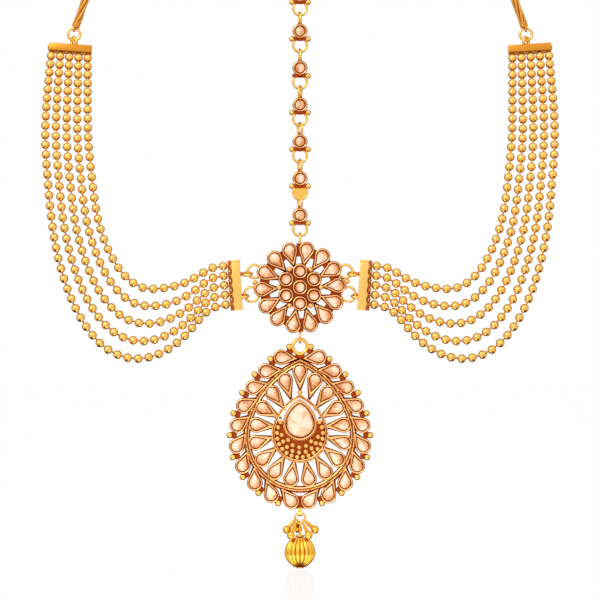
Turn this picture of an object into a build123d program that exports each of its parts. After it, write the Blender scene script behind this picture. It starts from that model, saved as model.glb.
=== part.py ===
"""A maang tikka with side ball chains, after the way such a head jewel is soldered and strung.

Millimetres. X runs to the wearer's left, Y into the depth (the front faces -Y) and Z up.
The origin is the inside top of the centre hair hook's bend, where the jewel hangs.

Flat work is drawn in its own frame, x right, y up and z towards the viewer, and stood up by upright().
"""

from build123d import *
from math import acos, atan2, cos, degrees, pi, radians, sin, sqrt, tan
import os

# Sheet and setting heights, in the frame of the flat work
BACK = -0.55            # underside of the backing sheet
FLOOR = 0.10            # floor of the stones' seats
RIM = 1.30              # top edge of the collets
WEB_TOP = 0.35          # solder and filler sheet between collets
SEAT_GAP = 0.06         # between a stone and its seat, all round
COLLET_WALL = 0.55
SOLDER = 0.25           # how far soldered pieces run into each other
PLAY = 0.07             # between links that hang in each other

# Stones
STONE_DEPTH = 0.80      # from the seat to the girdle
CROWN = 0.55            # from the girdle to the table
SEAT_SHARE = 0.96       # widths as shares of the girdle's
BREAK_SHARE = 0.80
BREAK_RISE = 0.34       # from the girdle to the break between the crown's facets
TABLE_SHARE = 0.50
ROUND_STONE_RADIUS = 1.38
ROUND_SIDES = 12
PEAR_STONE_RADIUS = 1.60
PEAR_STONE_REACH = 3.10  # from the middle of the round end to the tip
PEAR_SIDES = 13
PEAR_TABLE_SHIFT = 0.25
CENTRE_STONE_HALF_WIDTH = 4.05
CENTRE_STONE_APEX = 6.00
CENTRE_STONE_SIDE_CUTS = 8
CENTRE_STONE_TABLE_DROP = 0.60
CENTRE_STONE_LEVELS = (
    # share of the outline, height over the seat
    (0.97, 0.0),
    (1.0, 1.30),
    (0.90, 1.75),
    (0.12, 2.35),
)

# Centre chain
LINK_COUNT = 7
LINK_PITCH = 10.49
FIRST_LINK_Z = -16.9
LINK_COLLET_RADIUS = 2.00
LINK_RING_DROP = 4.00   # from the collet's middle to its ring's middle
LINK_RING_RADIUS = 1.95
LINK_RING_WIRE = 0.30
LOOP_WIRE = 0.36
LINK_LOOP_RADIUS = 1.60
LINK_LOOP_TURNS = (14, 8, 6, -14, 22, 18, 20)  # how far each link's loop is twisted from edge-on
FIRST_LOOP_RISE = 5.24   # from the first link's middle to the top wire of its loop
LINK_GRANULE_RADIUS = 0.85
LINK_GRANULE_SPREAD = 2.30
LINK_GRANULE_DROP = 2.20
LINK_WEB_WIDTH = 1.10
LINK_RING_FILL = 0.30    # sheet in the ring of one link
LINK_RING_FILL_GAP = 1.15
LINK_WITHOUT_LEFT_GRANULE = 3
LINK_WITH_FILLED_RING = 6

# Hair hooks
HOOK_WIRE = 0.45
HOOK_BEND_RADIUS = 1.60
HOOK_TIP_LENGTH = 5.0
CENTRE_EYE_RADIUS = 1.20

# Rosette
ROSETTE_Z = -100.4
PETAL_COUNT = 14
FIRST_PETAL_ANGLE = 80.0
PETAL_OUTER_REACH = 13.10
PETAL_INNER_REACH = 6.40
ROSETTE_RING_OF_STONES = 4.60
ROSETTE_COLLET_RADIUS = 2.10
ROSETTE_HUB_RADIUS = 5.60
ROSETTE_GRANULE_REACH = 6.00
ROSETTE_GRANULE_RADIUS = 0.75
WEB_INNER = 9.10
WEB_OUTER = 10.90
TAB_OUTER = 12.60
TAB_WIDTH = 2.00
ROSETTE_LOOP_RADIUS = 1.55
RIM_GRANULES = ((174.0, 12.9), (7.0, 13.5))  # direction and reach of the two granules on the rim
SIDE_RING_WIRE = 0.32
SIDE_RING_DEPTH = -0.25
SIDE_RINGS = {
    "upper": {"x": -13.0, "z": -95.85, "radius": 1.90, "eye_z": -96.6},
    "lower": {"x": -13.8, "z": -102.4, "radius": 2.08, "eye_z": -102.9},
}

# Pendant
PENDANT_RING_Z = -117.25
PENDANT_RING_RADIUS = 2.06
PENDANT_RING_WIRE = 0.49
PENDANT_SET_BACK = 0.30  # the work sits behind its ring, so that it hangs plumb
PENDANT_Z = -142.8       # the widest line
TWIST_TOP = 1.00         # heights of the twisted wires
BORDER_TOP = 1.20
SHOULDER = 15.0          # angle at which a pear's round end passes into its flanks
OUTER_ROW = {"half_width": 17.67, "apex": 25.9, "drop": 0.55, "pitch": 5.79, "pairs": 10}
OUTER_ROW_SLANT = 42.0   # between a collet's tip and the row's run upwards
TWIST_RING = {"half_width": 15.13, "apex": 21.2, "drop": 0.0, "width": 1.15}
INNER_ROW = {"half_width": 12.06, "apex": 17.6, "drop": -0.3, "count": 17}
INNER_ROW_AIM = 1.8      # height of the point that the inner tips look at
INNER_TIP_REACH = 5.40
OUTER_TIP_REACH = 4.70
INNER_BORDER = {"half_width": 7.70, "apex": 10.8, "drop": -0.55, "width": 0.85}
CENTRE_COLLET_RISE = 3.58
CENTRE_COLLET_WALL = 0.60
CENTRE_COLLET_RIM = 1.90
OUTER_GRANULES = {"half_width": 20.04, "apex": 26.8, "pitch": 6.35, "pairs": 10, "radius": 0.95}
GRANULE_WEB_RADIUS = 1.30
GRANULE_WEB_INSET = 1.10
FOOT_TAB = (3.0, 3.6)    # width and height of the sheet behind the bail
HEAD_TAB = (2.6, 1.8)    # and behind the ring
TAB_DROP = 0.60
APEX_GRANULE_Z = 13.8
APEX_GRANULE_RADIUS = 0.75
CRESCENT_TOP = 3.9
CRESCENT_GRANULE_LIFT = 0.60
CRESCENT_GRANULE_RADIUS = 0.64
CRESCENT_ROWS = (
    # radius, first angle, last angle, granules
    (6.55, 148, 392, 18),
    (5.20, 182, 352, 9),
    (3.75, 205, 328, 5),
)

# Drop under the pendant
BAIL_OUTER = 1.45
BAIL_INNER = 0.85
BAIL_WIDTH = 1.10
DROP_RING_Z = -166.1
DROP_RING_RADIUS = 1.47
DROP_RING_WIRE = 0.25
DANGLER_LOOP_RADIUS = 0.48
DANGLER_WIRE = 0.14
DANGLER_STEM_WIRE = 0.20
DANGLER_BALL_RADIUS = 1.15
DANGLERS = (
    # place round the drop ring from its foot, and the ball's middle from the ring's middle
    {"angle": -66, "ball": (-3.76, 0.0, -3.36)},
    {"angle": -42, "ball": (-2.60, -3.0, -4.90)},
    {"angle": -21, "ball": (-0.50, 3.4, -3.30)},
    {"angle": 30, "ball": (2.45, -2.9, -4.80)},
    {"angle": 58, "ball": (4.25, 0.0, -3.36)},
)
BEAD_TOP_Z = -171.7
BEAD_RIBS = 18
BEAD_GROOVE = 0.90       # groove radius as a share of the rib radius
BEAD_BORE_RADIUS = 0.42
BEAD_GAP = 0.05          # between the bead and the pieces above and below it
BEAD_PROFILE = (
    # depth under the bead's top, rib radius
    (0.0, 2.30),
    (1.0, 3.20),
    (2.0, 3.80),
    (3.2, 4.25),
    (4.6, 4.40),
    (6.0, 4.02),
    (7.3, 3.05),
    (8.4, 1.70),
)
COLLAR_RADIUS = 1.30
COLLAR_HEIGHT = 0.80
PIN_WIRE = 0.30
PIN_HEAD_RADIUS = 1.10
PIN_HEAD_HEIGHT = 0.30

# Side strands: ball chain
BALL_RADIUS = 1.20
BALL_PITCH = 3.05
CHAIN_WIRE = 0.38
WIRE_START = 0.80       # from a ball's middle, inside the ball
STRAND_COUNT = 5
STRAND_ROUTE = (
    # left side, from the outer bar to the inner bar: outermost strand x and z, innermost strand x and z, depth
    (-71.5, -31.3, -61.2, -32.0, 22.0),
    (-72.5, -45.6, -60.9, -46.1, 11.9),
    (-72.8, -58.3, -60.5, -58.3, 5.3),
    (-71.9, -70.4, -59.3, -69.8, 1.4),
    (-70.5, -83.5, -57.4, -81.8, 0.1),
    (-67.5, -97.2, -53.6, -91.8, 0.0),
    (-61.6, -110.6, -49.0, -98.0, 0.0),
    (-53.6, -118.8, -43.9, -100.7, 0.0),
    (-45.6, -120.7, -39.9, -100.7, 0.0),
    (-37.6, -118.0, -34.2, -99.6, 0.0),
    (-30.8, -112.0, -28.5, -96.8, 0.0),
    (-25.1, -106.4, -24.5, -94.7, 0.0),
    (-18.15, -105.1, -18.85, -94.5, 0.0),
)

# Bars that gather the strands
BAR_WALL = 0.35
BAR_DEPTH = 3.25
BAR_CAVITY = 1.40        # from the mouth to the closed side
APRON = 1.75             # how far the back sheet runs out under the balls
KNOB_RADIUS = 0.70
KNOB_INSET = 0.50        # from the back sheet's edge
INNER_BAR_LENGTH = 14.30
INNER_BAR_FRONT = 2.40
EYE_RADIUS = 1.15
EYE_WIRE = 0.40
EYE_STEM = 0.48
EYE_SHIFT = 0.24         # from the side ring's wire outwards to the eye's middle
EYE_TILT = 16.0          # from lying flat
OUTER_BAR_LENGTH = 12.40
OUTER_BAR_FRONT = 2.50
OUTER_BAR_SHIFT = -0.68  # its middle lies this far inwards from the strands' middle
OUTER_BAR_LEAN = 36.0
OUTER_EYE_RADIUS = 1.00
OUTER_EYE_TURN = 25.0    # from edge-on

# Cord at each upper end
CORD_RING_RADIUS = 1.75
CORD_RING_WIRE = 0.32
CORD_RING_AT = (-65.13, 22.85, -27.44)
BINDING_LOOP_RADIUS = 0.78
BINDING_LOOP_WIRE = 0.36
BINDING_RADIUS = 1.15
BINDING_LENGTH = 1.50
CORD_RADIUS = 1.20
CORD_ROUTE = (
    # the left cord, from its binding up to the side hook
    (-64.20, 22.85, -23.90),
    (-60.67, 22.85, -14.10),
    (-57.37, 22.95, -4.10),
    (-54.77, 23.25, 5.90),
)
ARC_SHARE = 0.45
FERRULE_RADIUS = 1.40
FERRULE_LENGTH = 2.40
SIDE_HOOK_SHANK = 5.0


# ---------------------------------------------------------------- general helpers

def upright(shape, x=0.0, z=0.0, depth=0.0):
    """Stand flat work up, facing -Y, with its origin at (x, depth, z)."""
    front = Plane(origin=(x, depth, z), x_dir=(1, 0, 0), z_dir=(0, -1, 0))
    return front.location * shape


def slab(face, low, high):
    """A flat shape as sheet between two heights."""
    return Pos(0, 0, low) * extrude(face, high - low)


def edge_on(radius, wire):
    """A loop seen edge-on in flat work: its hole runs along x."""
    return Rot(0, 90, 0) * Torus(radius, wire)


def grain(radius):
    """A solid ball for a sheet's surface or edge, turned so that its poles and seam lie askew to the sheet."""
    return Rot(100, 0, -30) * Sphere(radius)


def joined(pieces):
    """Everything soldered into one solid."""
    first, *rest = pieces
    return first.fuse(*rest)


def rod(start, end, radius):
    """A round wire between two points."""
    run = Vector(end) - Vector(start)
    return Plane(origin=start, z_dir=run).location * Cylinder(
        radius, run.length, align=(Align.CENTER, Align.CENTER, Align.MIN)
    )


def facets(loops):
    """A closed solid from the corner loops of its flat faces."""
    faces = [Face(Wire.make_polygon([Vector(*corner) for corner in loop], close=True)) for loop in loops]
    return Solid(Shell(faces))


def cut_stone(outline, middle, levels):
    """A cut stone on a many-cornered outline: levels give (share of the outline, height), from seat to table."""
    mx, my = middle
    rings = [
        [(mx + (x - mx) * share, my + (y - my) * share, height) for x, y in outline]
        for share, height in levels
    ]
    loops = [rings[0][::-1], rings[-1]]
    for lower, upper in zip(rings, rings[1:]):
        for i in range(len(outline)):
            j = (i + 1) % len(outline)
            loops.append([lower[i], lower[j], upper[j], upper[i]])
    return facets(loops)


def mirrored(shape):
    """The same piece on the other side of the head."""
    return mirror(shape, about=Plane.YZ)


# ---------------------------------------------------------------- outlines

def teardrop(radius, reach):
    """A teardrop whose round end is centred on the origin and whose tip lies at x = reach."""
    turn = degrees(acos(radius / reach))
    arc = CenterArc((0, 0), radius, turn, 360 - 2 * turn)
    return make_face([arc, Line(arc @ 1, (reach, 0)), Line((reach, 0), arc @ 0)])


def teardrop_corners(radius, reach, sides):
    """Corners of a cut pear stone: its tip, and points round its arc."""
    turn = acos(radius / reach)
    step = (2 * pi - 2 * turn) / (sides - 2)
    arc = [turn + step * i for i in range(sides - 1)]
    return [(reach, 0)] + [(radius * cos(a), radius * sin(a)) for a in arc]


def pear_side(half_width, apex, grow=0.0):
    """The right side of a pear, from the foot of its round end up to its apex."""
    lean = radians(SHOULDER)
    spread = (apex**2 - half_width**2) / (2 * (half_width - apex * sin(lean)))
    centre_x, centre_y = -spread * cos(lean), -spread * sin(lean)
    flank = half_width + spread + grow
    apex_y = centre_y + sqrt(flank**2 - centre_x**2)
    apex_angle = degrees(atan2(apex_y - centre_y, -centre_x))
    foot = CenterArc((0, 0), half_width + grow, -90, 90 + SHOULDER)
    shoulder = CenterArc((centre_x, centre_y), flank, SHOULDER, apex_angle - SHOULDER)
    return Wire([foot, shoulder])


def pear(half_width, apex, grow=0.0):
    side = pear_side(half_width, apex, grow)
    return make_face(side.edges() + mirror(side, about=Plane.YZ).edges())


def pear_band(size):
    """A pear-shaped ring, as wide as its entry says."""
    half = size["width"] / 2
    outside = pear(size["half_width"], size["apex"], half)
    return outside - pear(size["half_width"], size["apex"], -half)


def row_places(side, distances):
    """Points along a pear's side, each with the direction in which the side runs there."""
    places = []
    for distance in distances:
        at = side.position_at(distance, PositionMode.LENGTH)
        run = side.tangent_at(distance, PositionMode.LENGTH)
        places.append((at.X, at.Y, degrees(atan2(run.Y, run.X))))
    return places


# ---------------------------------------------------------------- settings and stones

def pear_setting(x, y, aim, tip_reach):
    """Where a small pear stone's round end lies when its middle is at (x, y) and its tip points at aim."""
    back_off = (PEAR_STONE_REACH - PEAR_STONE_RADIUS) / 2
    return {
        "x": x - back_off * cos(radians(aim)),
        "y": y - back_off * sin(radians(aim)),
        "aim": aim,
        "tip_reach": tip_reach,
    }


def at_setting(setting, shape):
    return Pos(setting["x"], setting["y"]) * Rot(0, 0, setting["aim"]) * shape


def pear_collet(setting):
    return at_setting(setting, teardrop(PEAR_STONE_RADIUS + COLLET_WALL, setting["tip_reach"]))


def pear_seat(setting):
    share = (PEAR_STONE_RADIUS + SEAT_GAP) / PEAR_STONE_RADIUS
    seat = teardrop(PEAR_STONE_RADIUS + SEAT_GAP, PEAR_STONE_REACH * share)
    return slab(at_setting(setting, seat), FLOOR, RIM + 1)


def stone_levels():
    """Seat, girdle, the break between the two rows of crown facets, and table."""
    seat = FLOOR + SEAT_GAP
    girdle = seat + STONE_DEPTH
    return [(SEAT_SHARE, seat), (1.0, girdle), (BREAK_SHARE, girdle + BREAK_RISE), (TABLE_SHARE, girdle + CROWN)]


def pear_stone(setting):
    corners = teardrop_corners(PEAR_STONE_RADIUS, PEAR_STONE_REACH, PEAR_SIDES)
    return at_setting(setting, cut_stone(corners, (PEAR_TABLE_SHIFT, 0), stone_levels()))


def round_stone(x, y):
    step = 2 * pi / ROUND_SIDES
    corners = [(ROUND_STONE_RADIUS * cos(step * i), ROUND_STONE_RADIUS * sin(step * i)) for i in range(ROUND_SIDES)]
    return Pos(x, y) * cut_stone(corners, (0, 0), stone_levels())


def round_seat(x, y):
    return Pos(x, y) * slab(Circle(ROUND_STONE_RADIUS + SEAT_GAP), FLOOR, RIM + 1)


# ---------------------------------------------------------------- centre chain

def link_z(number):
    return FIRST_LINK_Z - LINK_PITCH * (number - 1)


def hanging_loop_z(ring_wire_z, ring_wire, loop_radius, loop_wire=LOOP_WIRE):
    """Middle height of a loop whose top wire rests over a wire below the hole of the ring above."""
    return ring_wire_z + ring_wire + PLAY + loop_wire - loop_radius


def link_ring_wire_z(number):
    return link_z(number) - LINK_RING_DROP - LINK_RING_RADIUS


def centre_link(number):
    """One soldered link: collet, ring below, loop above, and two granules."""
    above = HOOK_EYE_WIRE_Z if number == 1 else link_ring_wire_z(number - 1)
    loop_y = hanging_loop_z(above, LINK_RING_WIRE, LINK_LOOP_RADIUS) - link_z(number)
    ring = Pos(0, -LINK_RING_DROP) * Torus(LINK_RING_RADIUS, LINK_RING_WIRE)
    web = Pos(0, -LINK_GRANULE_DROP) * Rectangle(2 * LINK_GRANULE_SPREAD, LINK_WEB_WIDTH)
    pieces = [
        slab(Circle(LINK_COLLET_RADIUS), BACK, RIM),
        slab(web, BACK / 2, WEB_TOP),
        ring,
        Pos(0, loop_y) * Rot(0, LINK_LOOP_TURNS[number - 1], 0) * edge_on(LINK_LOOP_RADIUS, LOOP_WIRE),
    ]
    sides = (1,) if number == LINK_WITHOUT_LEFT_GRANULE else (-1, 1)
    for side in sides:
        pieces.append(Pos(side * LINK_GRANULE_SPREAD, -LINK_GRANULE_DROP) * grain(LINK_GRANULE_RADIUS))
    if number == LINK_WITH_FILLED_RING:
        fill = Circle(LINK_RING_RADIUS) - Pos(0, -LINK_RING_RADIUS) * Circle(LINK_RING_FILL_GAP)
        pieces.append(Pos(0, -LINK_RING_DROP) * slab(fill, -LINK_RING_FILL / 2, LINK_RING_FILL / 2))
    link = joined(pieces) - round_seat(0, 0)
    return upright(link, z=link_z(number))


def hair_hook(shank_foot):
    """The hook's wire: a leaning shank, a bend over the top and a tip behind. The bend's inside top is the origin."""
    radius = HOOK_BEND_RADIUS
    middle = Vector(0, 0, HOOK_WIRE - radius)
    to_foot = Vector(shank_foot) - middle
    lean = degrees(acos(radius / to_foot.length))
    foot_angle = degrees(atan2(to_foot.Z, to_foot.Y))
    start = radians(foot_angle - lean)
    touch = middle + Vector(0, radius * cos(start), radius * sin(start))
    crown = middle + Vector(0, 0, radius)
    back = middle + Vector(0, radius, 0)
    shank = Edge.make_line(shank_foot, touch)
    bend = Edge.make_three_point_arc(touch, crown, back)
    tip = Edge.make_line(back, back - Vector(0, 0, HOOK_TIP_LENGTH))
    path = Wire([shank, bend, tip])
    section = Plane(origin=shank_foot, z_dir=touch - Vector(shank_foot)) * Circle(HOOK_WIRE)
    return sweep(section, path)


HOOK_EYE_WIRE_Z = FIRST_LINK_Z + FIRST_LOOP_RISE - LOOP_WIRE - PLAY - LINK_RING_WIRE


def centre_hook():
    eye_z = HOOK_EYE_WIRE_Z + CENTRE_EYE_RADIUS
    eye = upright(Torus(CENTRE_EYE_RADIUS, LINK_RING_WIRE), z=eye_z)
    return hair_hook((0, 0, eye_z + CENTRE_EYE_RADIUS - SOLDER)).fuse(eye)


# ---------------------------------------------------------------- rosette

def petal_settings():
    middle = PETAL_OUTER_REACH - PEAR_STONE_RADIUS - COLLET_WALL
    settings = []
    for i in range(PETAL_COUNT):
        angle = FIRST_PETAL_ANGLE - 360 / PETAL_COUNT * i
        settings.append({
            "x": middle * cos(radians(angle)),
            "y": middle * sin(radians(angle)),
            "aim": angle + 180,
            "tip_reach": middle - PETAL_INNER_REACH,
        })
    return settings


def rosette_round_places():
    angles = [radians(90 + 60 * i) for i in range(6)]
    return [(0, 0)] + [(ROSETTE_RING_OF_STONES * cos(a), ROSETTE_RING_OF_STONES * sin(a)) for a in angles]


def rosette_frame():
    """The pierced flower: petal collets on a web, a hub of round collets, granules, loops and side rings."""
    pieces = [slab(pear_collet(s), BACK, RIM) for s in petal_settings()]
    pieces += [Pos(x, y) * slab(Circle(ROSETTE_COLLET_RADIUS), BACK, RIM) for x, y in rosette_round_places()]
    pieces.append(slab(Circle(ROSETTE_HUB_RADIUS), BACK, WEB_TOP))
    pieces.append(slab(Circle(WEB_OUTER) - Circle(WEB_INNER), BACK, WEB_TOP))
    tab_length = TAB_OUTER - WEB_INNER
    for side in (-1, 1):
        tab = Pos(0, side * (WEB_INNER + tab_length / 2)) * Rectangle(TAB_WIDTH, tab_length)
        pieces.append(slab(tab, BACK, WEB_TOP))
    for i in range(6):
        x = ROSETTE_GRANULE_REACH * cos(radians(60 * i))
        y = ROSETTE_GRANULE_REACH * sin(radians(60 * i))
        pieces.append(Pos(x, y, RIM / 2) * grain(ROSETTE_GRANULE_RADIUS))
    for angle, reach in RIM_GRANULES:
        x, y = reach * cos(radians(angle)), reach * sin(radians(angle))
        pieces.append(Pos(x, y, FLOOR) * grain(ROSETTE_GRANULE_RADIUS))
    top_y = hanging_loop_z(link_ring_wire_z(LINK_COUNT), LINK_RING_WIRE, ROSETTE_LOOP_RADIUS) - ROSETTE_Z
    pendant_wire_z = PENDANT_RING_Z + PENDANT_RING_RADIUS
    foot_y = pendant_wire_z - PENDANT_RING_WIRE - PLAY - LOOP_WIRE + ROSETTE_LOOP_RADIUS - ROSETTE_Z
    for y in (top_y, foot_y):
        pieces.append(Pos(0, y) * edge_on(ROSETTE_LOOP_RADIUS, LOOP_WIRE))
    for ring in SIDE_RINGS.values():
        for side in (-1, 1):
            place = Pos(-side * ring["x"], ring["z"] - ROSETTE_Z, SIDE_RING_DEPTH)
            pieces.append(place * Torus(ring["radius"], SIDE_RING_WIRE))
    frame = joined(pieces)
    seats = [pear_seat(s) for s in petal_settings()] + [round_seat(x, y) for x, y in rosette_round_places()]
    return upright(frame.cut(*seats), z=ROSETTE_Z)


def rosette_petal_stones():
    return upright(Compound([pear_stone(s) for s in petal_settings()]), z=ROSETTE_Z)


def rosette_round_stones():
    return upright(Compound([round_stone(x, y) for x, y in rosette_round_places()]), z=ROSETTE_Z)


# ---------------------------------------------------------------- pendant

def pendant_work(shape):
    """Place work that was drawn round the pendant's widest line."""
    return upright(shape, z=PENDANT_Z, depth=PENDANT_SET_BACK)


def outer_row_settings():
    side = pear_side(OUTER_ROW["half_width"], OUTER_ROW["apex"])
    distances = [OUTER_ROW["pitch"] * (i + 0.5) for i in range(OUTER_ROW["pairs"])]
    settings = []
    for x, y, run in row_places(side, distances):
        settings.append(pear_setting(x, y - OUTER_ROW["drop"], run + OUTER_ROW_SLANT, OUTER_TIP_REACH))
        settings.append(pear_setting(-x, y - OUTER_ROW["drop"], 180 - run - OUTER_ROW_SLANT, OUTER_TIP_REACH))
    return settings


def inner_row_settings():
    side = pear_side(INNER_ROW["half_width"], INNER_ROW["apex"])
    pitch = 2 * side.length / INNER_ROW["count"]
    distances = [pitch * (i + 0.5) for i in range(INNER_ROW["count"] // 2)]
    settings = []
    for x, y, _ in row_places(side, distances):
        for mx in (x, -x):
            aim = degrees(atan2(INNER_ROW_AIM - y, -mx))
            settings.append(pear_setting(mx, y - INNER_ROW["drop"], aim, INNER_TIP_REACH))
    settings.append(pear_setting(0, INNER_ROW["apex"] - INNER_ROW["drop"], -90, INNER_TIP_REACH))
    return settings


def crescent():
    """The sheet under the centre stone and its rows of granules."""
    border = pear(INNER_BORDER["half_width"], INNER_BORDER["apex"])
    span = 2 * (INNER_BORDER["half_width"] + INNER_BORDER["apex"])
    below = Pos(0, CRESCENT_TOP - span / 2) * Rectangle(span, span)
    pieces = [slab(border & below, BACK, FLOOR)]
    for radius, first, last, count in CRESCENT_ROWS:
        for i in range(count):
            angle = radians(first + (last - first) * i / (count - 1))
            place = Pos(radius * cos(angle), radius * sin(angle), CRESCENT_GRANULE_LIFT)
            pieces.append(place * grain(CRESCENT_GRANULE_RADIUS))
    return pieces


def pendant_frame():
    """The pierced pear: everything soldered together round its stones."""
    settings = outer_row_settings() + inner_row_settings()
    pieces = [slab(pear_collet(s), BACK, RIM) for s in settings]
    pieces.append(slab(pear_band(TWIST_RING), BACK, TWIST_TOP))
    border_place = Pos(0, -INNER_BORDER["drop"])
    pieces.append(border_place * slab(pear_band(INNER_BORDER), BACK, BORDER_TOP))
    pieces += [border_place * piece for piece in crescent()]
    collet = pear(CENTRE_STONE_HALF_WIDTH, CENTRE_STONE_APEX, CENTRE_COLLET_WALL)
    pieces.append(Pos(0, CENTRE_COLLET_RISE) * slab(collet, BACK, CENTRE_COLLET_RIM))
    pieces.append(Pos(0, APEX_GRANULE_Z, RIM / 2) * grain(APEX_GRANULE_RADIUS))

    granules = OUTER_GRANULES
    web_side = pear_side(granules["half_width"], granules["apex"], -GRANULE_WEB_INSET)
    side = pear_side(granules["half_width"], granules["apex"])
    share = web_side.length / side.length
    distances = [granules["pitch"] * (i + 1) for i in range(granules["pairs"])]
    for x, y, _ in row_places(side, distances):
        pieces += [Pos(turn * x, y, FLOOR) * grain(granules["radius"]) for turn in (-1, 1)]
    # The uppermost pair is soldered to the ring itself
    for x, y, _ in row_places(web_side, [d * share for d in distances[:-1]]):
        pieces += [Pos(turn * x, y) * slab(Circle(GRANULE_WEB_RADIUS), BACK, WEB_TOP) for turn in (-1, 1)]

    foot = OUTER_ROW["half_width"] + OUTER_ROW["drop"]
    pieces.append(Pos(0, -foot - TAB_DROP) * slab(Rectangle(*FOOT_TAB), BACK, WEB_TOP))
    ring_y = PENDANT_RING_Z - PENDANT_Z
    pieces.append(Pos(0, ring_y, PENDANT_SET_BACK) * Torus(PENDANT_RING_RADIUS, PENDANT_RING_WIRE))
    pieces.append(Pos(0, ring_y - PENDANT_RING_RADIUS - TAB_DROP) * slab(Rectangle(*HEAD_TAB), BACK, WEB_TOP))
    bail = Rot(0, 90, 0) * slab(Circle(BAIL_OUTER) - Circle(BAIL_INNER), -BAIL_WIDTH / 2, BAIL_WIDTH / 2)
    pieces.append(Pos(0, bail_z() - PENDANT_Z, PENDANT_SET_BACK) * bail)
    frame = joined(pieces)
    seats = [pear_seat(s) for s in settings]
    seat = pear(CENTRE_STONE_HALF_WIDTH, CENTRE_STONE_APEX, SEAT_GAP)
    seats.append(Pos(0, CENTRE_COLLET_RISE) * slab(seat, FLOOR, CENTRE_COLLET_RIM + 1))
    return pendant_work(frame.cut(*seats))


def bail_z():
    """Middle height of the bail, so that its foot holds the drop ring's top wire over the bail's whole width."""
    crown = sqrt((DROP_RING_RADIUS - DROP_RING_WIRE)**2 - (BAIL_WIDTH / 2)**2)
    return DROP_RING_Z + crown - PLAY + BAIL_INNER


def pendant_centre_stone():
    """A pear cut with long facets that run up to a small table low on the stone."""
    side = pear_side(CENTRE_STONE_HALF_WIDTH, CENTRE_STONE_APEX)
    cuts = CENTRE_STONE_SIDE_CUTS
    right = [side.position_at(i / cuts) for i in range(cuts + 1)]
    corners = [(p.X, p.Y) for p in right] + [(-p.X, p.Y) for p in right[-2:0:-1]]
    levels = [(share, FLOOR + SEAT_GAP + height) for share, height in CENTRE_STONE_LEVELS]
    stone = cut_stone(corners, (0, -CENTRE_STONE_TABLE_DROP), levels)
    return pendant_work(Pos(0, CENTRE_COLLET_RISE) * stone)


def pendant_inner_stones():
    return pendant_work(Compound([pear_stone(s) for s in inner_row_settings()]))


def pendant_outer_stones():
    return pendant_work(Compound([pear_stone(s) for s in outer_row_settings()]))


# ---------------------------------------------------------------- drop

def drop_ring():
    return upright(Torus(DROP_RING_RADIUS, DROP_RING_WIRE), z=DROP_RING_Z)


def ring_place(angle):
    """A point on the drop ring's wire, at an angle from its foot, and the wire's direction there."""
    a = radians(angle)
    point = Vector(DROP_RING_RADIUS * sin(a), 0, DROP_RING_Z - DROP_RING_RADIUS * cos(a))
    return point, Vector(cos(a), 0, sin(a))


def wire_loop(angle):
    """A small wire loop round the drop ring."""
    point, along = ring_place(angle)
    return Plane(origin=point, z_dir=along).location * Torus(DANGLER_LOOP_RADIUS, DANGLER_WIRE)


def dangler(angle, ball):
    """A ball on a wire that ends in a loop round the drop ring."""
    point, along = ring_place(angle)
    middle = Vector(*ball) + Vector(0, 0, DROP_RING_Z)
    outwards = middle - point
    outwards = (outwards - along * outwards.dot(along)).normalized()
    foot = point + outwards * DANGLER_LOOP_RADIUS
    ball_solid = Pos(*middle) * Sphere(DANGLER_BALL_RADIUS)
    return joined([wire_loop(angle), rod(foot, middle, DANGLER_STEM_WIRE), ball_solid])


def fluted_section(radius, height):
    """One level of the ribbed bead: a scalloped outline of arcs."""
    step = 360 / BEAD_RIBS
    arcs = []
    for i in range(BEAD_RIBS):
        points = []
        for turn, share in ((-0.5, BEAD_GROOVE), (0, 1), (0.5, BEAD_GROOVE)):
            angle = radians(step * (i + turn))
            points.append(Vector(radius * share * cos(angle), radius * share * sin(angle), height))
        arcs.append(Edge.make_three_point_arc(*points))
    return Wire(arcs)


def melon_bead():
    sections = [fluted_section(radius, BEAD_TOP_Z - depth) for depth, radius in BEAD_PROFILE]
    height = BEAD_PROFILE[-1][0]
    bore = Pos(0, 0, BEAD_TOP_Z - height / 2) * Cylinder(BEAD_BORE_RADIUS, height + 2)
    return Solid.make_loft(sections[::-1]) - bore


def bead_collar():
    ring = Circle(COLLAR_RADIUS) - Circle(BEAD_BORE_RADIUS)
    return Pos(0, 0, BEAD_TOP_Z + BEAD_GAP) * extrude(ring, COLLAR_HEIGHT)


def bead_pin():
    foot = BEAD_TOP_Z - BEAD_PROFILE[-1][0] - BEAD_GAP
    loop_foot, _ = ring_place(0)
    shank = rod((0, 0, foot - PIN_HEAD_HEIGHT / 2), loop_foot - Vector(0, 0, DANGLER_LOOP_RADIUS), PIN_WIRE)
    head = Pos(0, 0, foot - PIN_HEAD_HEIGHT / 2) * Cylinder(PIN_HEAD_RADIUS, PIN_HEAD_HEIGHT)
    return joined([shank, head, wire_loop(0)])


# ---------------------------------------------------------------- side strands and bars (left side)

def strand_route(number):
    """Route points of one strand: the strands share out the space between the outermost and the innermost."""
    share = (number - 1) / (STRAND_COUNT - 1)
    points = []
    for outer_x, outer_z, inner_x, inner_z, depth in STRAND_ROUTE:
        points.append((outer_x + (inner_x - outer_x) * share, depth, outer_z + (inner_z - outer_z) * share))
    return points


def ball_chain(number):
    """A strand of ball chain: balls at an even pitch on the route, with the wire that joins them."""
    route = Spline(*strand_route(number))
    count = round(route.length / BALL_PITCH)
    places = [route.position_at(i / count) for i in range(count + 1)]
    runs = [route.tangent_at(i / count) for i in range(count + 1)]
    balls = [ball(place, run) for place, run in zip(places, runs)]
    wires = []
    for a, b in zip(places, places[1:]):
        sunk = (b - a).normalized() * WIRE_START
        wires.append(rod(a + sunk, b - sunk, CHAIN_WIRE))
    return joined(balls + wires)


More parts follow.
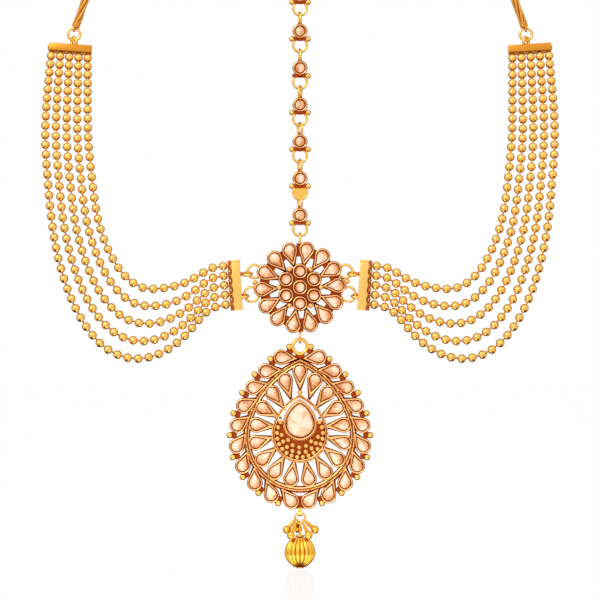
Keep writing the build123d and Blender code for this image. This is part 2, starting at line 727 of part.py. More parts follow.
def ball(place, run):
    """One ball, turned so that its poles and seam lie away from the wires."""
    side = run.cross(Vector(0, 1, 0)).normalized()
    return Plane(origin=place, x_dir=side, z_dir=side.cross(run)).location * Sphere(BALL_RADIUS)


def gathering_bar(length, front, strand_pitch, end_walls, shift=0.0):
    """A folded bar: its mouth faces -x, its length runs along y, and its back sheet runs out as an apron.

    Its knobs stand between the strands. The sheet may be shifted along its length from the strands' middle.
    """
    half = BAR_DEPTH / 2
    closed = BAR_CAVITY + BAR_WALL
    sheet = Box(front, length, BAR_WALL, align=(Align.MAX, Align.CENTER, Align.MAX))
    back = Box(closed + APRON, length, BAR_WALL, align=(Align.MAX, Align.CENTER, Align.MAX))
    pieces = [
        Pos(closed, shift, half) * sheet,
        Pos(closed, shift, -half + BAR_WALL) * back,
        Pos(closed, shift, 0) * Box(BAR_WALL, length, BAR_DEPTH, align=(Align.MAX, Align.CENTER, Align.CENTER)),
    ]
    if end_walls:
        for side in (-1, 1):
            wall = Box(closed, BAR_WALL, BAR_DEPTH, align=(Align.MAX, Align.CENTER, Align.CENTER))
            pieces.append(Pos(closed, shift + side * (length - BAR_WALL) / 2, 0) * wall)
    for i in range(STRAND_COUNT - 1):
        y = strand_pitch * (i - (STRAND_COUNT - 2) / 2)
        pieces.append(Pos(-APRON + KNOB_INSET, y, -half + BAR_WALL) * grain(KNOB_RADIUS))
    return pieces


def strand_ends(index):
    """Where the outermost and the innermost strand end, and the pitch between neighbours."""
    first, last = (Vector(*strand_route(number)[index]) for number in (1, STRAND_COUNT))
    return first, last, (last - first).length / (STRAND_COUNT - 1)


def inner_bar():
    """The bar by the rosette, with the two wire eyes that hang in the rosette's side rings."""
    low, high, pitch = strand_ends(-1)
    middle = (low + high) / 2
    tilt = atan2(low.X - high.X, high.Z - low.Z)
    pieces = gathering_bar(INNER_BAR_LENGTH, INNER_BAR_FRONT, pitch, end_walls=True)
    place = Pos(middle.X, 0, middle.Z) * Rot(90, 0, 0) * Rot(0, 0, degrees(tilt))
    pieces = [place * piece for piece in pieces]
    for ring in SIDE_RINGS.values():
        depth = -SIDE_RING_DEPTH
        drop = ring["eye_z"] - ring["z"]
        ring_wire_x = ring["x"] - sqrt(ring["radius"]**2 - drop**2)
        eye_x = ring_wire_x - EYE_SHIFT
        wall_x = middle.X + BAR_CAVITY - tan(tilt) * (ring["eye_z"] - middle.Z)
        eye = Pos(eye_x, depth, ring["eye_z"]) * Rot(EYE_TILT, 0, 0) * Torus(EYE_RADIUS, EYE_WIRE)
        foot_x = wall_x + BAR_WALL / 2
        behind = Box(5, 5, 5, align=(Align.MAX, Align.CENTER, Align.CENTER))
        pieces.append(eye - Pos(foot_x, depth, ring["eye_z"]) * behind)
        if eye_x - EYE_RADIUS > foot_x:
            pieces.append(rod((foot_x, depth, ring["eye_z"]), (eye_x - EYE_RADIUS, depth, ring["eye_z"]), EYE_STEM))
    return joined(pieces)


def outer_bar():
    """The bar at the strands' upper end. It leans back with them and has one wire eye."""
    first, last, pitch = strand_ends(0)
    middle = (first + last) / 2
    tilt = atan2(first.Z - last.Z, last.X - first.X)
    pieces = gathering_bar(OUTER_BAR_LENGTH, OUTER_BAR_FRONT, pitch, end_walls=False, shift=OUTER_BAR_SHIFT)
    lean = radians(OUTER_BAR_LEAN)
    leaning = Plane(origin=(0, 0, 0), x_dir=(0, sin(lean), cos(lean)), z_dir=(0, -cos(lean), sin(lean)))
    place = Pos(*middle) * Rot(0, degrees(tilt), 0) * leaning.location
    pieces = [place * piece for piece in pieces]
    x, y, z = CORD_RING_AT
    eye_top = z - CORD_RING_RADIUS + CORD_RING_WIRE + PLAY + EYE_WIRE
    eye = Rot(0, 0, OUTER_EYE_TURN) * Rot(0, 90, 0) * Torus(OUTER_EYE_RADIUS, EYE_WIRE)
    pieces.append(Pos(x, y, eye_top - OUTER_EYE_RADIUS) * eye)
    return joined(pieces)


# ---------------------------------------------------------------- cord and side hook (left side)

def cord_ring():
    x, y, z = CORD_RING_AT
    return upright(Torus(CORD_RING_RADIUS, CORD_RING_WIRE), x=x, z=z, depth=y)


def cord_binding():
    """The cord's bound end: a loop of thread round the ring's top wire, and the wrap above it."""
    x, y, z = CORD_RING_AT
    ring_top = Vector(x, y, z + CORD_RING_RADIUS)
    foot = Vector(*CORD_ROUTE[0])
    run = (Vector(*CORD_ROUTE[1]) - foot).normalized()
    loop = Pos(*ring_top) * Rot(0, 90, 0) * Torus(BINDING_LOOP_RADIUS, BINDING_LOOP_WIRE)
    return joined([rod(foot - run * BINDING_LENGTH, foot, BINDING_RADIUS), loop])


def arc_radii(points):
    """The radius of the tangent arc at each inner point: as large as its two runs allow."""
    radii = []
    for before, here, after in zip(points, points[1:], points[2:]):
        run_in, run_out = Vector(here) - Vector(before), Vector(after) - Vector(here)
        half_turn = radians(run_in.get_angle(run_out)) / 2
        shorter = min(run_in.length, run_out.length)
        radii.append(ARC_SHARE * shorter / tan(half_turn))
    return radii


def side_cord():
    """The thread bundle as a round tube of straight runs and tangent arcs."""
    radii = arc_radii(CORD_ROUTE)
    path = FilletPolyline(*CORD_ROUTE, radius=radii)
    section = Plane(origin=path @ 0, z_dir=path % 0) * Circle(CORD_RADIUS)
    cord = sweep(section, path)
    print("cord radii", [round(r, 1) for r in radii], "length", round(path.length, 2))
    print("cord volume over section times length", round(cord.volume / (pi * CORD_RADIUS**2 * path.length), 4))
    return cord


def side_hook():
    """A plain hair hook, crimped on the cord's end with a ferrule."""
    end, before = Vector(*CORD_ROUTE[-1]), Vector(*CORD_ROUTE[-2])
    run = (end - before).normalized()
    ferrule = rod(end, end + run * FERRULE_LENGTH, FERRULE_RADIUS)
    foot = end + run * (FERRULE_LENGTH - SOLDER)
    wire = Pos(foot.X, foot.Y, foot.Z + SIDE_HOOK_SHANK) * hair_hook((0, 0, -SIDE_HOOK_SHANK))
    return ferrule.fuse(wire)


# ---------------------------------------------------------------- everything

def build():
    parts = {"centre_hook": centre_hook()}
    for number in range(1, LINK_COUNT + 1):
        parts[f"centre_link_{number}"] = centre_link(number)
        parts[f"centre_stone_{number}"] = upright(round_stone(0, 0), z=link_z(number))
    parts["rosette_frame"] = rosette_frame()
    parts["rosette_petal_stones"] = rosette_petal_stones()
    parts["rosette_round_stones"] = rosette_round_stones()
    parts["pendant_frame"] = pendant_frame()
    parts["pendant_centre_stone"] = pendant_centre_stone()
    parts["pendant_inner_stones"] = pendant_inner_stones()
    parts["pendant_outer_stones"] = pendant_outer_stones()
    parts["drop_ring"] = drop_ring()
    for number, size in enumerate(DANGLERS, start=1):
        parts[f"drop_dangler_{number}"] = dangler(**size)
    parts["melon_bead"] = melon_bead()
    parts["bead_collar"] = bead_collar()
    parts["bead_pin"] = bead_pin()
    pairs = {
        "inner_bar": inner_bar(),
        "outer_bar": outer_bar(),
        "cord_ring": cord_ring(),
        "cord_binding": cord_binding(),
        "side_cord": side_cord(),
        "side_hook": side_hook(),
    }
    for number in range(1, STRAND_COUNT + 1):
        pairs[f"ball_chain_{number}"] = ball_chain(number)
    for name, shape in pairs.items():
        parts[f"{name}_left"] = shape
        parts[f"{name}_right"] = mirrored(shape)
    return parts


def main():
    os.makedirs("parts", exist_ok=True)
    for name, shape in build().items():
        export_step(shape, f"parts/{name}.step")


main()
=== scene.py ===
"""The looks of the maang tikka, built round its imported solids.

Sizes are in millimetres and become metres where a mesh is made. Flat work is drawn with x to the right, y up
and its height towards the viewer, and Work.stand() stands it up to face -Y.
"""

import math

import bmesh
import bpy
from mathutils import Matrix, Vector


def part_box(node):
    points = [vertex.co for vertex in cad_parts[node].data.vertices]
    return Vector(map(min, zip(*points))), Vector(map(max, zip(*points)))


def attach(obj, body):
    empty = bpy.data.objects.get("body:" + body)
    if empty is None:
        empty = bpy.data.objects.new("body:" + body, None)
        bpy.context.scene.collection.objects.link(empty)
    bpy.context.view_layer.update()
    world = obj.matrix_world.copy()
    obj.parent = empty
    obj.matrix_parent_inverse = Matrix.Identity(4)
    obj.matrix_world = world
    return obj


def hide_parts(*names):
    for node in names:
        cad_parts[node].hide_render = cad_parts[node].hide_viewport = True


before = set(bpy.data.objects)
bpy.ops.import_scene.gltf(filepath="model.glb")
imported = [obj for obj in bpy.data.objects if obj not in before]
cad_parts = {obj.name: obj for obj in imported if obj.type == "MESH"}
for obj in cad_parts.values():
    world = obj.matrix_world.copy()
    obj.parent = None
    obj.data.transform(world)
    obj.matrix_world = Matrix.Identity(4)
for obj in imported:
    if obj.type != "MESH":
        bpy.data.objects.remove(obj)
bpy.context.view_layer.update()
MM = 0.001
HEAD, PENDANT = "headpiece", "pendant"


# Simple forms ----------------------------------------------------------

class Work:
    """Faces gathered for one piece, in millimetres, with the number of each face's finish."""

    def __init__(self):
        self.points, self.faces, self.finishes = [], [], []

    def add(self, form, finish=0, move=None):
        points, faces = form
        base = len(self.points)
        self.points += [move @ Vector(p) if move else Vector(p) for p in points]
        self.faces += [tuple(base + i for i in face) for face in faces]
        self.finishes += finish if isinstance(finish, list) else [finish] * len(faces)
        return self

    def stand(self, z, depth=0.0):
        """Stand flat work up, facing -Y."""
        self.points = [Vector((p.x, depth - p.z, z + p.y)) for p in self.points]
        return self

    def mirrored(self):
        """The same work for the other side of the head."""
        made = Work()
        made.points = [Vector((-p.x, p.y, p.z)) for p in self.points]
        made.faces = [face[::-1] for face in self.faces]
        made.finishes = list(self.finishes)
        return made


def loft(loops, wrap=False, caps=(False, False)):
    """Faces between loops with equal counts of points."""
    count = len(loops[0])
    points = [p for loop in loops for p in loop]
    pairs = list(zip(range(len(loops)), range(1, len(loops))))
    if wrap:
        pairs.append((len(loops) - 1, 0))
    faces = []
    for a, b in pairs:
        for i in range(count):
            j = (i + 1) % count
            faces.append((a * count + i, a * count + j, b * count + j, b * count + i))
    if caps[0]:
        faces.append(tuple(range(count))[::-1])
    if caps[1]:
        faces.append(tuple(range((len(loops) - 1) * count, len(loops) * count)))
    return points, faces


def circle(radius, count, height=0.0, x=0.0, y=0.0):
    angles = [math.tau / count * i for i in range(count)]
    return [Vector((x + radius * math.cos(a), y + radius * math.sin(a), height)) for a in angles]


def at_height(loop, height):
    return [Vector((p.x, p.y, height)) for p in loop]


def blend_loops(outer, inner, share, height):
    """The loop that lies this share of the way from the outer one to the inner one."""
    pairs = zip(outer, inner)
    return [Vector((a.x + (b.x - a.x) * share, a.y + (b.y - a.y) * share, height)) for a, b in pairs]


def frames_along(path, closed):
    """A direction and two cross directions at each point of a path, turned as little as possible."""
    count = len(path)
    runs = []
    for i in range(count):
        before = path[i - 1] if closed or i else path[0]
        after = path[(i + 1) % count] if closed or i < count - 1 else path[-1]
        runs.append((after - before).normalized())
    side = runs[0].orthogonal().normalized()
    sides = [side]
    for a, b in zip(runs, runs[1:]):
        side = (a.rotation_difference(b) @ side).normalized()
        sides.append(side)
    if closed:
        last = runs[-1].rotation_difference(runs[0]) @ sides[-1]
        turn = last.angle(sides[0], 0.0) * (1 if last.cross(sides[0]).dot(runs[0]) > 0 else -1)
        sides = [Matrix.Rotation(turn * i / count, 3, r) @ s for i, (r, s) in enumerate(zip(runs, sides))]
    return [(r, s, r.cross(s)) for r, s in zip(runs, sides)]


def wire(path, radius, sides=10, closed=False):
    """A round wire along a path. Its radius is one number, or one for each point."""
    path = [Vector(p) for p in path]
    radii = radius if isinstance(radius, list) else [radius] * len(path)
    loops = []
    for point, (_, a, b), r in zip(path, frames_along(path, closed), radii):
        ring = [(math.cos(math.tau * k / sides), math.sin(math.tau * k / sides)) for k in range(sides)]
        loops.append([point + a * (r * c) + b * (r * s) for c, s in ring])
    return loft(loops, wrap=closed, caps=(not closed, not closed))


def hoop(radius, thickness, count=36, sides=10, normal=(0, 0, 1), middle=(0, 0, 0)):
    """A closed ring of round wire."""
    turn = Vector((0, 0, 1)).rotation_difference(Vector(normal))
    path = [Vector(middle) + turn @ p for p in circle(radius, count)]
    return wire(path, thickness, sides, closed=True)


def ball(middle, radius, axis=(0, 0, 1), segments=18, rings=11):
    turn = Vector((0, 0, 1)).rotation_difference(Vector(axis))
    loops = []
    for i in range(1, rings):
        lift = math.pi * i / rings
        ring = circle(radius * math.sin(lift), segments, -radius * math.cos(lift))
        loops.append([Vector(middle) + turn @ p for p in ring])
    points, faces = loft(loops)
    low, high = len(points), len(points) + 1
    points += [Vector(middle) - turn @ Vector((0, 0, radius)), Vector(middle) + turn @ Vector((0, 0, radius))]
    last = (rings - 2) * segments
    for i in range(segments):
        j = (i + 1) % segments
        faces.append((low, j, i))
        faces.append((high, last + i, last + j))
    return points, faces


def plate(outline, low, high, bevel=0.08):
    """A flat outline as sheet, with its upper edge eased."""
    middle = sum(outline, Vector()) / len(outline)
    inner = [p + (middle - p).normalized() * bevel for p in outline]
    loops = [at_height(outline, low), at_height(outline, high - bevel), at_height(inner, high)]
    return loft(loops, caps=(True, True))


def washer(inner, outer, low, high, count=72):
    section = ((inner, low), (outer, low), (outer, high), (inner, high))
    return loft([circle(radius, count, height) for radius, height in section], wrap=True)


def rectangle(width, height, x=0.0, y=0.0):
    corners = ((-1, -1), (1, -1), (1, 1), (-1, 1))
    return [Vector((x + a * width / 2, y + b * height / 2, 0)) for a, b in corners]


def block(size, bevel, place):
    """A box with rounded edges; place is its middle and turn."""
    work = bmesh.new()
    bmesh.ops.create_cube(work, size=1.0)
    for vertex in work.verts:
        vertex.co = Vector((a * b for a, b in zip(vertex.co, size)))
    bmesh.ops.bevel(work, geom=work.edges[:], offset=bevel, segments=3, profile=0.5, affect="EDGES")
    work.verts.index_update()
    form = [place @ v.co for v in work.verts], [tuple(v.index for v in f.verts) for f in work.faces]
    work.free()
    return form


# Outlines --------------------------------------------------------------

def teardrop(radius, reach, arc_count=26, flank_count=5):
    """A teardrop round the origin: its tip at x = reach, one flank, its round end and its other flank."""
    turn = math.acos(radius / reach)
    arc = [turn + (math.tau - 2 * turn) * i / (arc_count - 1) for i in range(arc_count)]
    arc = [Vector((radius * math.cos(a), radius * math.sin(a), 0)) for a in arc]
    tip = Vector((reach, 0, 0))
    out = [tip.lerp(arc[0], i / flank_count) for i in range(flank_count)]
    back = [arc[-1].lerp(tip, (i + 1) / flank_count) for i in range(flank_count - 1)]
    return out + arc + back


SHOULDER = math.radians(15)


def pear_side(half_width, apex, grow=0.0, step=0.5):
    """The right side of a pear, from its foot to its apex: a round end, and a flank from the shoulder on."""
    spread = (apex**2 - half_width**2) / (2 * (half_width - apex * math.sin(SHOULDER)))
    middle = Vector((-spread * math.cos(SHOULDER), -spread * math.sin(SHOULDER), 0))
    flank = half_width + spread + grow
    top = math.sqrt(flank**2 - middle.x**2)
    last = math.atan2(top, -middle.x)
    round_end = half_width + grow
    first = max(4, round(half_width * (math.pi / 2 + SHOULDER) / step))
    second = max(4, round(math.hypot(half_width, apex) * 0.7 / step))
    angles = [-math.pi / 2 + (math.pi / 2 + SHOULDER) * i / first for i in range(first)]
    points = [Vector((round_end * math.cos(a), round_end * math.sin(a), 0)) for a in angles]
    angles = [SHOULDER + (last - SHOULDER) * i / second for i in range(second + 1)]
    return points + [middle + Vector((flank * math.cos(a), flank * math.sin(a), 0)) for a in angles]


def pear(half_width, apex, grow=0.0, step=0.5):
    right = pear_side(half_width, apex, grow, step)
    return right + [Vector((-p.x, p.y, 0)) for p in right[-2:0:-1]]


def path_length(points):
    return sum((b - a).length for a, b in zip(points, points[1:]))


def along(points, distances):
    """Points at these distances along a path, each with the path's direction there."""
    found = []
    for distance in distances:
        left = distance
        for a, b in zip(points, points[1:]):
            length = (b - a).length
            if left <= length or b is points[-1]:
                found.append((a.lerp(b, left / length), (b - a).normalized()))
                break
            left -= length
    return found


def evenly(points, pitch):
    """A closed path's points again, at an even pitch near the one asked for."""
    closed = points + [points[0]]
    total = path_length(closed)
    count = round(total / pitch)
    return [place for place, _ in along(closed, [total * i / count for i in range(count)])]


# Collets and stones ----------------------------------------------------

# Heights of flat work over its own plane
BACK, FLOOR, SEAT_FLOOR, RIM = -0.55, 0.10, 0.55, 1.30
WEB_TOP = 0.35           # webs of solder between the collets
HAIR = 0.02              # backs that cross lie this far apart, so that no two faces share a plane
WALL = 0.42              # the lip round a stone
LIP = (
    # share of the way from the lip's outside to its inside, depth under the rim
    (0.0, 0.34),
    (0.06, 0.16),
    (0.22, 0.04),
    (0.45, 0.0),
    (0.70, 0.03),
    (0.92, 0.14),
    (1.0, 0.28),
)
FILLET_TOP, COLLET_FOOT = 0.22, 0.80
ROUND_FILLET, PEAR_FILLET, TIP_FILLET = 0.15, 0.12, 1.15  # how far solder runs out from a collet
PEAR_RADIUS = 2.15
PEAR_SEAT_REACH = 3.50   # from the middle of a seat's round end to its tip
PEAR_STONE = (1.54, 3.06)  # a pear stone's radius, and its reach to the tip
PEAR_STONE_MEET = 0.25   # where its facets draw in to, from the middle of its round end
ROUND_STONE_SIDES = 9
ROUND_STONE = 1.36
PEAR_STONE_SHIFT = 0.75  # from a pear stone's middle to the middle of its round end


def back_of(top):
    """Where a web of solder starts: a web that stands higher starts higher."""
    return BACK + 6 * HAIR + 0.1 * top


def add_collet(work, outer, inner, rim=RIM, move=None, fillet=None, turn=0):
    """A collet: a wall with a rounded lip, the seat inside it in painted shade, and solder run in round its
    foot.
    """
    low = BACK + HAIR * (turn % 3)
    lip = [blend_loops(outer, inner, share, rim - depth) for share, depth in LIP]
    work.add(loft([at_height(outer, low), *lip], caps=(True, False)), 0, move)
    if fillet:
        foot = ((fillet, low + 3 * HAIR), (fillet, FILLET_TOP), (outer, COLLET_FOOT))
        work.add(loft([at_height(loop, height) for loop, height in foot], caps=(True, False)), 2, move)
    # The seat inside the lip takes finish 1: painted dark red-brown shade
    work.add(loft([lip[-1], at_height(inner, SEAT_FLOOR)], caps=(False, True)), 1, move)


def add_round_collet(work, x, y, radius):
    outer, inner, foot = (circle(r, 32, 0, x, y) for r in (radius, radius - WALL, radius + ROUND_FILLET))
    add_collet(work, outer, inner, fillet=foot, turn=0.5)


def placed(setting):
    x, y, aim = setting
    return Matrix.Translation((x, y, 0)) @ Matrix.Rotation(aim, 4, "Z")


def add_pear_collet(work, setting, tip_reach, turn):
    inner = teardrop(PEAR_RADIUS - WALL, PEAR_SEAT_REACH)
    foot = teardrop(PEAR_RADIUS + PEAR_FILLET, tip_reach + TIP_FILLET)
    outer = teardrop(PEAR_RADIUS, tip_reach)
    add_collet(work, outer, inner, move=placed(setting), fillet=foot, turn=turn)


LIT_FACET, HALF_LIT_FACET, SHADED_FACET = range(3)  # finishes of a stone's facets: painted light, half light and shade
STONE_LEVELS = (
    # share of the outline, height
    (0.96, 0.15),
    (1.0, 0.92),
    (0.66, 1.34),
    (0.16, 1.50),
)
STONE_TURN = 2.4         # how far the light moves round, in radians, for each face before the stone
ROW_LIGHT = {1: -0.30, 2: 0.10}  # the upper row of facets is the brighter one
LIT_FACET_OVER, HALF_LIT_FACET_OVER = 0.05, -0.80


def cut_stone(outline, middle, seed):
    """A cut stone: an upright side, two rows of three-cornered facets half a step apart, and a table.

    The facets of one side get painted light and those across painted shade, and each stone turns another
    side to the painted light. Gives points, faces and the tone of each face.
    """
    count = len(outline)

    # Each facet's tone is painted light or shade, from the way it faces a made-up light
    def tone(row, step):
        lit = math.cos(math.tau * step / count - STONE_TURN * seed) + ROW_LIGHT[row]
        return LIT_FACET if lit > LIT_FACET_OVER else HALF_LIT_FACET if lit > HALF_LIT_FACET_OVER else SHADED_FACET

    points, faces, tones = [], [tuple(range(count))[::-1]], [SHADED_FACET]
    for row, (share, height) in enumerate(STONE_LEVELS):
        for i in range(count):
            corner = outline[i]
            if row == 2:
                corner = corner.lerp(outline[(i + 1) % count], 0.5)
            flat = middle + (corner - middle) * share
            points.append(Vector((flat.x, flat.y, height)))
    for row in range(len(STONE_LEVELS) - 1):
        low, high = row * count, (row + 1) * count
        for i in range(count):
            j = (i + 1) % count
            if row == 0:
                faces.append((low + i, low + j, high + j, high + i))
                tones.append(SHADED_FACET)
            elif row == 1:
                faces += [(low + i, low + j, high + i), (low + j, high + j, high + i)]
                tones += [tone(row, i + 0.5), tone(row, i + 1.6)]
            else:
                faces += [(low + i, low + j, high + j), (low + i, high + j, high + i)]
                tones += [tone(row, i + 1.0), tone(row, i + 2.4)]
    faces.append(tuple(range((len(STONE_LEVELS) - 1) * count, len(STONE_LEVELS) * count)))
    return points, faces, tones + [LIT_FACET]


def add_stone(work, outline, middle, move=None):
    points, faces, tones = cut_stone(outline, middle, seed=len(work.faces))
    work.add((points, faces), tones, move)


def add_pear_stone(work, setting):
    outline = teardrop(*PEAR_STONE, arc_count=7, flank_count=1)
    add_stone(work, outline, Vector((PEAR_STONE_MEET, 0, 0)), move=placed(setting))


def add_round_stone(work, x, y):
    add_stone(work, circle(ROUND_STONE, ROUND_STONE_SIDES, x=x, y=y), Vector((x, y, 0)))


def set_pear(x, y, aim):
    """Where a pear stone's round end lies when its middle is at (x, y) and its tip points at aim."""
    return x - PEAR_STONE_SHIFT * math.cos(aim), y - PEAR_STONE_SHIFT * math.sin(aim), aim


def twisted_wire(points, strand, reach, pitch, height, samples=12):
    """Two strands wound round each other along a closed flat path."""
    path = evenly(points, pitch / samples)
    turns = round(len(path) / samples)
    work = Work()
    frames = frames_along(path, True)
    for start in (0.0, math.pi):
        winding = []
        for i, (point, (run, _, _)) in enumerate(zip(path, frames)):
            angle = start + math.tau * turns * i / len(path)
            side = Vector((0, 0, 1)).cross(run)
            lift = Vector((0, 0, height + reach * math.sin(angle)))
            winding.append(point + side * (reach * math.cos(angle)) + lift)
        work.add(wire(winding, strand, sides=6, closed=True))
    return work.points, work.faces


# Materials -------------------------------------------------------------

WHITE = (1.0, 1.0, 1.0, 1.0)


def linear(code):
    """An sRGB hex colour as linear values with alpha."""
    parts = [int(code[i : i + 2], 16) / 255 for i in (0, 2, 4)]
    return [c / 12.92 if c <= 0.04045 else ((c + 0.055) / 1.055) ** 2.4 for c in parts] + [1.0]


def node(tree, kind, settings=None, links=None):
    """Add a node. Settings and links are keyed by a property's or socket's name, or by a socket's number."""
    made = tree.nodes.new(kind)
    for key, value in (settings or {}).items():
        if isinstance(key, str) and hasattr(made, key):
            setattr(made, key, value)
        else:
            made.inputs[key].default_value = value
    for key, source in (links or {}).items():
        tree.links.new(source, made.inputs[key])
    return made


def fill_ramp(ramp, stops):
    """Give a colour ramp its stops, each a position and a colour."""
    elements = ramp.color_ramp.elements
    elements[0].position, elements[1].position = stops[0][0], stops[-1][0]
    for position, _ in stops[1:-1]:
        elements.new(position)
    for element, (_, colour) in zip(elements, stops):
        element.color = colour


def noise_scale(size):
    """The scale of a noise whose patches are about this many millimetres across."""
    return 0.5 / (size * MM)


def new_material(name, colour, metallic, roughness):
    material = bpy.data.materials.new(name)
    material.use_nodes = True
    shader = next(n for n in material.node_tree.nodes if n.type == "BSDF_PRINCIPLED")
    shader.inputs["Base Color"].default_value = linear(colour)
    shader.inputs["Metallic"].default_value = metallic
    shader.inputs["Roughness"].default_value = roughness
    return material, material.node_tree, shader


def add_grain(tree, shader, size, strength, depth):
    """Make a surface uneven, in patches about this many millimetres across."""
    place = node(tree, "ShaderNodeTexCoord").outputs["Object"]
    grain = node(tree, "ShaderNodeTexNoise", {"Scale": noise_scale(size), "Detail": 2.0}, {"Vector": place})
    settings = {"Strength": strength, "Distance": depth * MM}
    bump = node(tree, "ShaderNodeBump", settings, {"Height": grain.outputs["Fac"]})
    tree.links.new(bump.outputs["Normal"], shader.inputs["Normal"])


def oxide_and_shade_metal(name, bright, dark, roughness, reach, low, high, grain=0.010, metallic=1.0):
    """Plated metal, darkened in corners and between neighbouring pieces: partly its own oxide, partly painted
    shade.

    The darkening follows how open a spot is within reach: it is full where that is low, and gone where it is
    high.
    """
    material, tree, shader = new_material(name, bright, metallic, roughness)
    # Ambient occlusion darkens the colour in corners and between parts: partly oxide, partly painted shade
    hollow = node(tree, "ShaderNodeAmbientOcclusion", {"samples": 6, "Distance": reach * MM})
    limits = {"From Min": low, "From Max": high}
    amount = node(tree, "ShaderNodeMapRange", limits, {"Value": hollow.outputs["AO"]})
    colours = {"data_type": "RGBA", 6: linear(dark), 7: linear(bright)}
    mix = node(tree, "ShaderNodeMix", colours, {0: amount.outputs["Result"]})
    tree.links.new(mix.outputs[2], shader.inputs["Base Color"])
    # A cast and plated surface is slightly uneven, at about a third of a millimetre
    add_grain(tree, shader, size=0.35, strength=0.25, depth=grain)
    return material


# Collets and twisted wires: pinkish gold with red-brown seams
ROSE_GOLD = oxide_and_shade_metal("antique_rose_gold_plate", "F8BE7C", "8A300E", 0.20, 0.9, 0.08, 0.50)
# Granules: much the same gold, with a softer shine, and bright nearly to the foot
GRANULE_GOLD = oxide_and_shade_metal("rose_gold_granules", "FCC070", "94380E", 0.34, 0.25, 0.0, 0.25, metallic=0.75)
# Rings, loops, hooks and the rim's granules: clear yellow
YELLOW_GOLD = oxide_and_shade_metal("satin_yellow_gold_plate", "FACE6E", "96440C", 0.26, 0.9, 0.05, 0.50)
# Inner bars: flat, even, pale yellow sheet
BAR_GOLD = oxide_and_shade_metal("smooth_satin_gold_sheet", "F8D078", "96440C", 0.34, 0.9, 0.05, 0.35, grain=0.001)
# Balls: mirror-like, with small clear highlights
BALL_GOLD = oxide_and_shade_metal("polished_ball_chain_gold", "F6CA70", "8A3A10", 0.18, 0.8, 0.10, 0.55, grain=0.004)
# Wire between the balls: duller and darker
NECK_GOLD = oxide_and_shade_metal("dull_gold_chain_wire", "C8883C", "6A2A0A", 0.34, 0.8, 0.10, 0.60)
# Outer bars: deep amber
AMBER_GOLD = oxide_and_shade_metal("amber_gold_plate", "DC9838", "84280A", 0.32, 0.9, 0.05, 0.40, grain=0.001)
# Bead and drops: strong yellow with orange-red grooves
BEAD_GOLD = oxide_and_shade_metal("ribbed_bead_gold", "FAC850", "B03C04", 0.24, 1.2, 0.40, 0.86)
# Solder, and painted shade in the collets' seats and inside the bars: three red-browns
SOLDER = oxide_and_shade_metal("red_brown_solder", "AC4C1E", "6E1E08", 0.38, 1.0, 0.10, 0.65)
# Collet seats: painted shade, red-brown
SHADOWED = oxide_and_shade_metal("painted_shade_in_collet_seats", "AC4418", "80220A", 0.48, 0.8, 0.10, 0.60)
# The red-brown inside the bars is painted shade; the eyes' solder blobs share this colour
BAR_SHADE_AND_SOLDER = oxide_and_shade_metal("painted_shade_and_solder_in_bars", "D0602C", "B04010", 0.50, 0.8, 0.05, 0.50, metallic=0.35)
COLLET_METALS = (ROSE_GOLD, SHADOWED, SOLDER)


def glass(name, pale, warm):
    """Cloudy peach glass with a foil behind it: it throws light back from its facets."""
    material, tree, shader = new_material(name, pale, metallic=0.20, roughness=0.10)
    place = node(tree, "ShaderNodeTexCoord").outputs["Object"]
    cloud = node(tree, "ShaderNodeTexNoise", {"Scale": noise_scale(2.0), "Detail": 1.5}, {"Vector": place})
    tint = node(tree, "ShaderNodeValToRGB", links={"Fac": cloud.outputs["Fac"]})
    fill_ramp(tint, ((0.36, linear(warm)), (0.62, linear(pale))))
    tree.links.new(tint.outputs["Color"], shader.inputs["Base Color"])
    return material


# Facets of one stone differ in tone: painted light, half light and painted shade, as if lit from one side
GLASS = (
    glass("peach_glass_painted_lit_facets", "FCE6D6", "F8D2B6"),
    glass("peach_glass_painted_half_lit_facets", "F6CCA8", "EEB488"),
    glass("peach_glass_painted_shade_facets", "E6AC80", "D08C5A"),
)


def thread_material(name, colour):
    """Metallic thread: fine twisted fibres with a silky shine."""
    material, tree, shader = new_material(name, colour, metallic=0.65, roughness=0.42)
    add_grain(tree, shader, size=0.25, strength=0.35, depth=0.02)
    return material


THREAD = thread_material("gold_thread", "DE9E42")
CORE = thread_material("brown_core_thread", "7A3A0C")


# Pieces ----------------------------------------------------------------

def piece(name, work, body, finishes, replaced=(), sharp=38.0):
    """Make a mesh piece that rides a body and stands for the CAD nodes it replaces."""
    mesh = bpy.data.meshes.new(name)
    mesh.from_pydata([tuple(c * MM for c in p) for p in work.points], [], work.faces)
    mesh.polygons.foreach_set("material_index", work.finishes)
    mesh.polygons.foreach_set("use_smooth", [sharp > 0] * len(mesh.polygons))
    mesh.validate()
    if sharp > 0:
        mesh.set_sharp_from_angle(angle=math.radians(sharp))
    for finish in finishes:
        mesh.materials.append(finish)
    made = bpy.data.objects.new(name, mesh)
    bpy.context.scene.collection.objects.link(made)
    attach(made, body)
    if replaced:
        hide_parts(*replaced)
    return made


def middle_of(name):
    """The middle of a CAD node's box, in millimetres."""
    low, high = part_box(name)
    return (low + high) / (2 * MM)


# Centre chain ----------------------------------------------------------

LINK_COUNT = 7
LINK_COLLET_RADIUS = 2.00
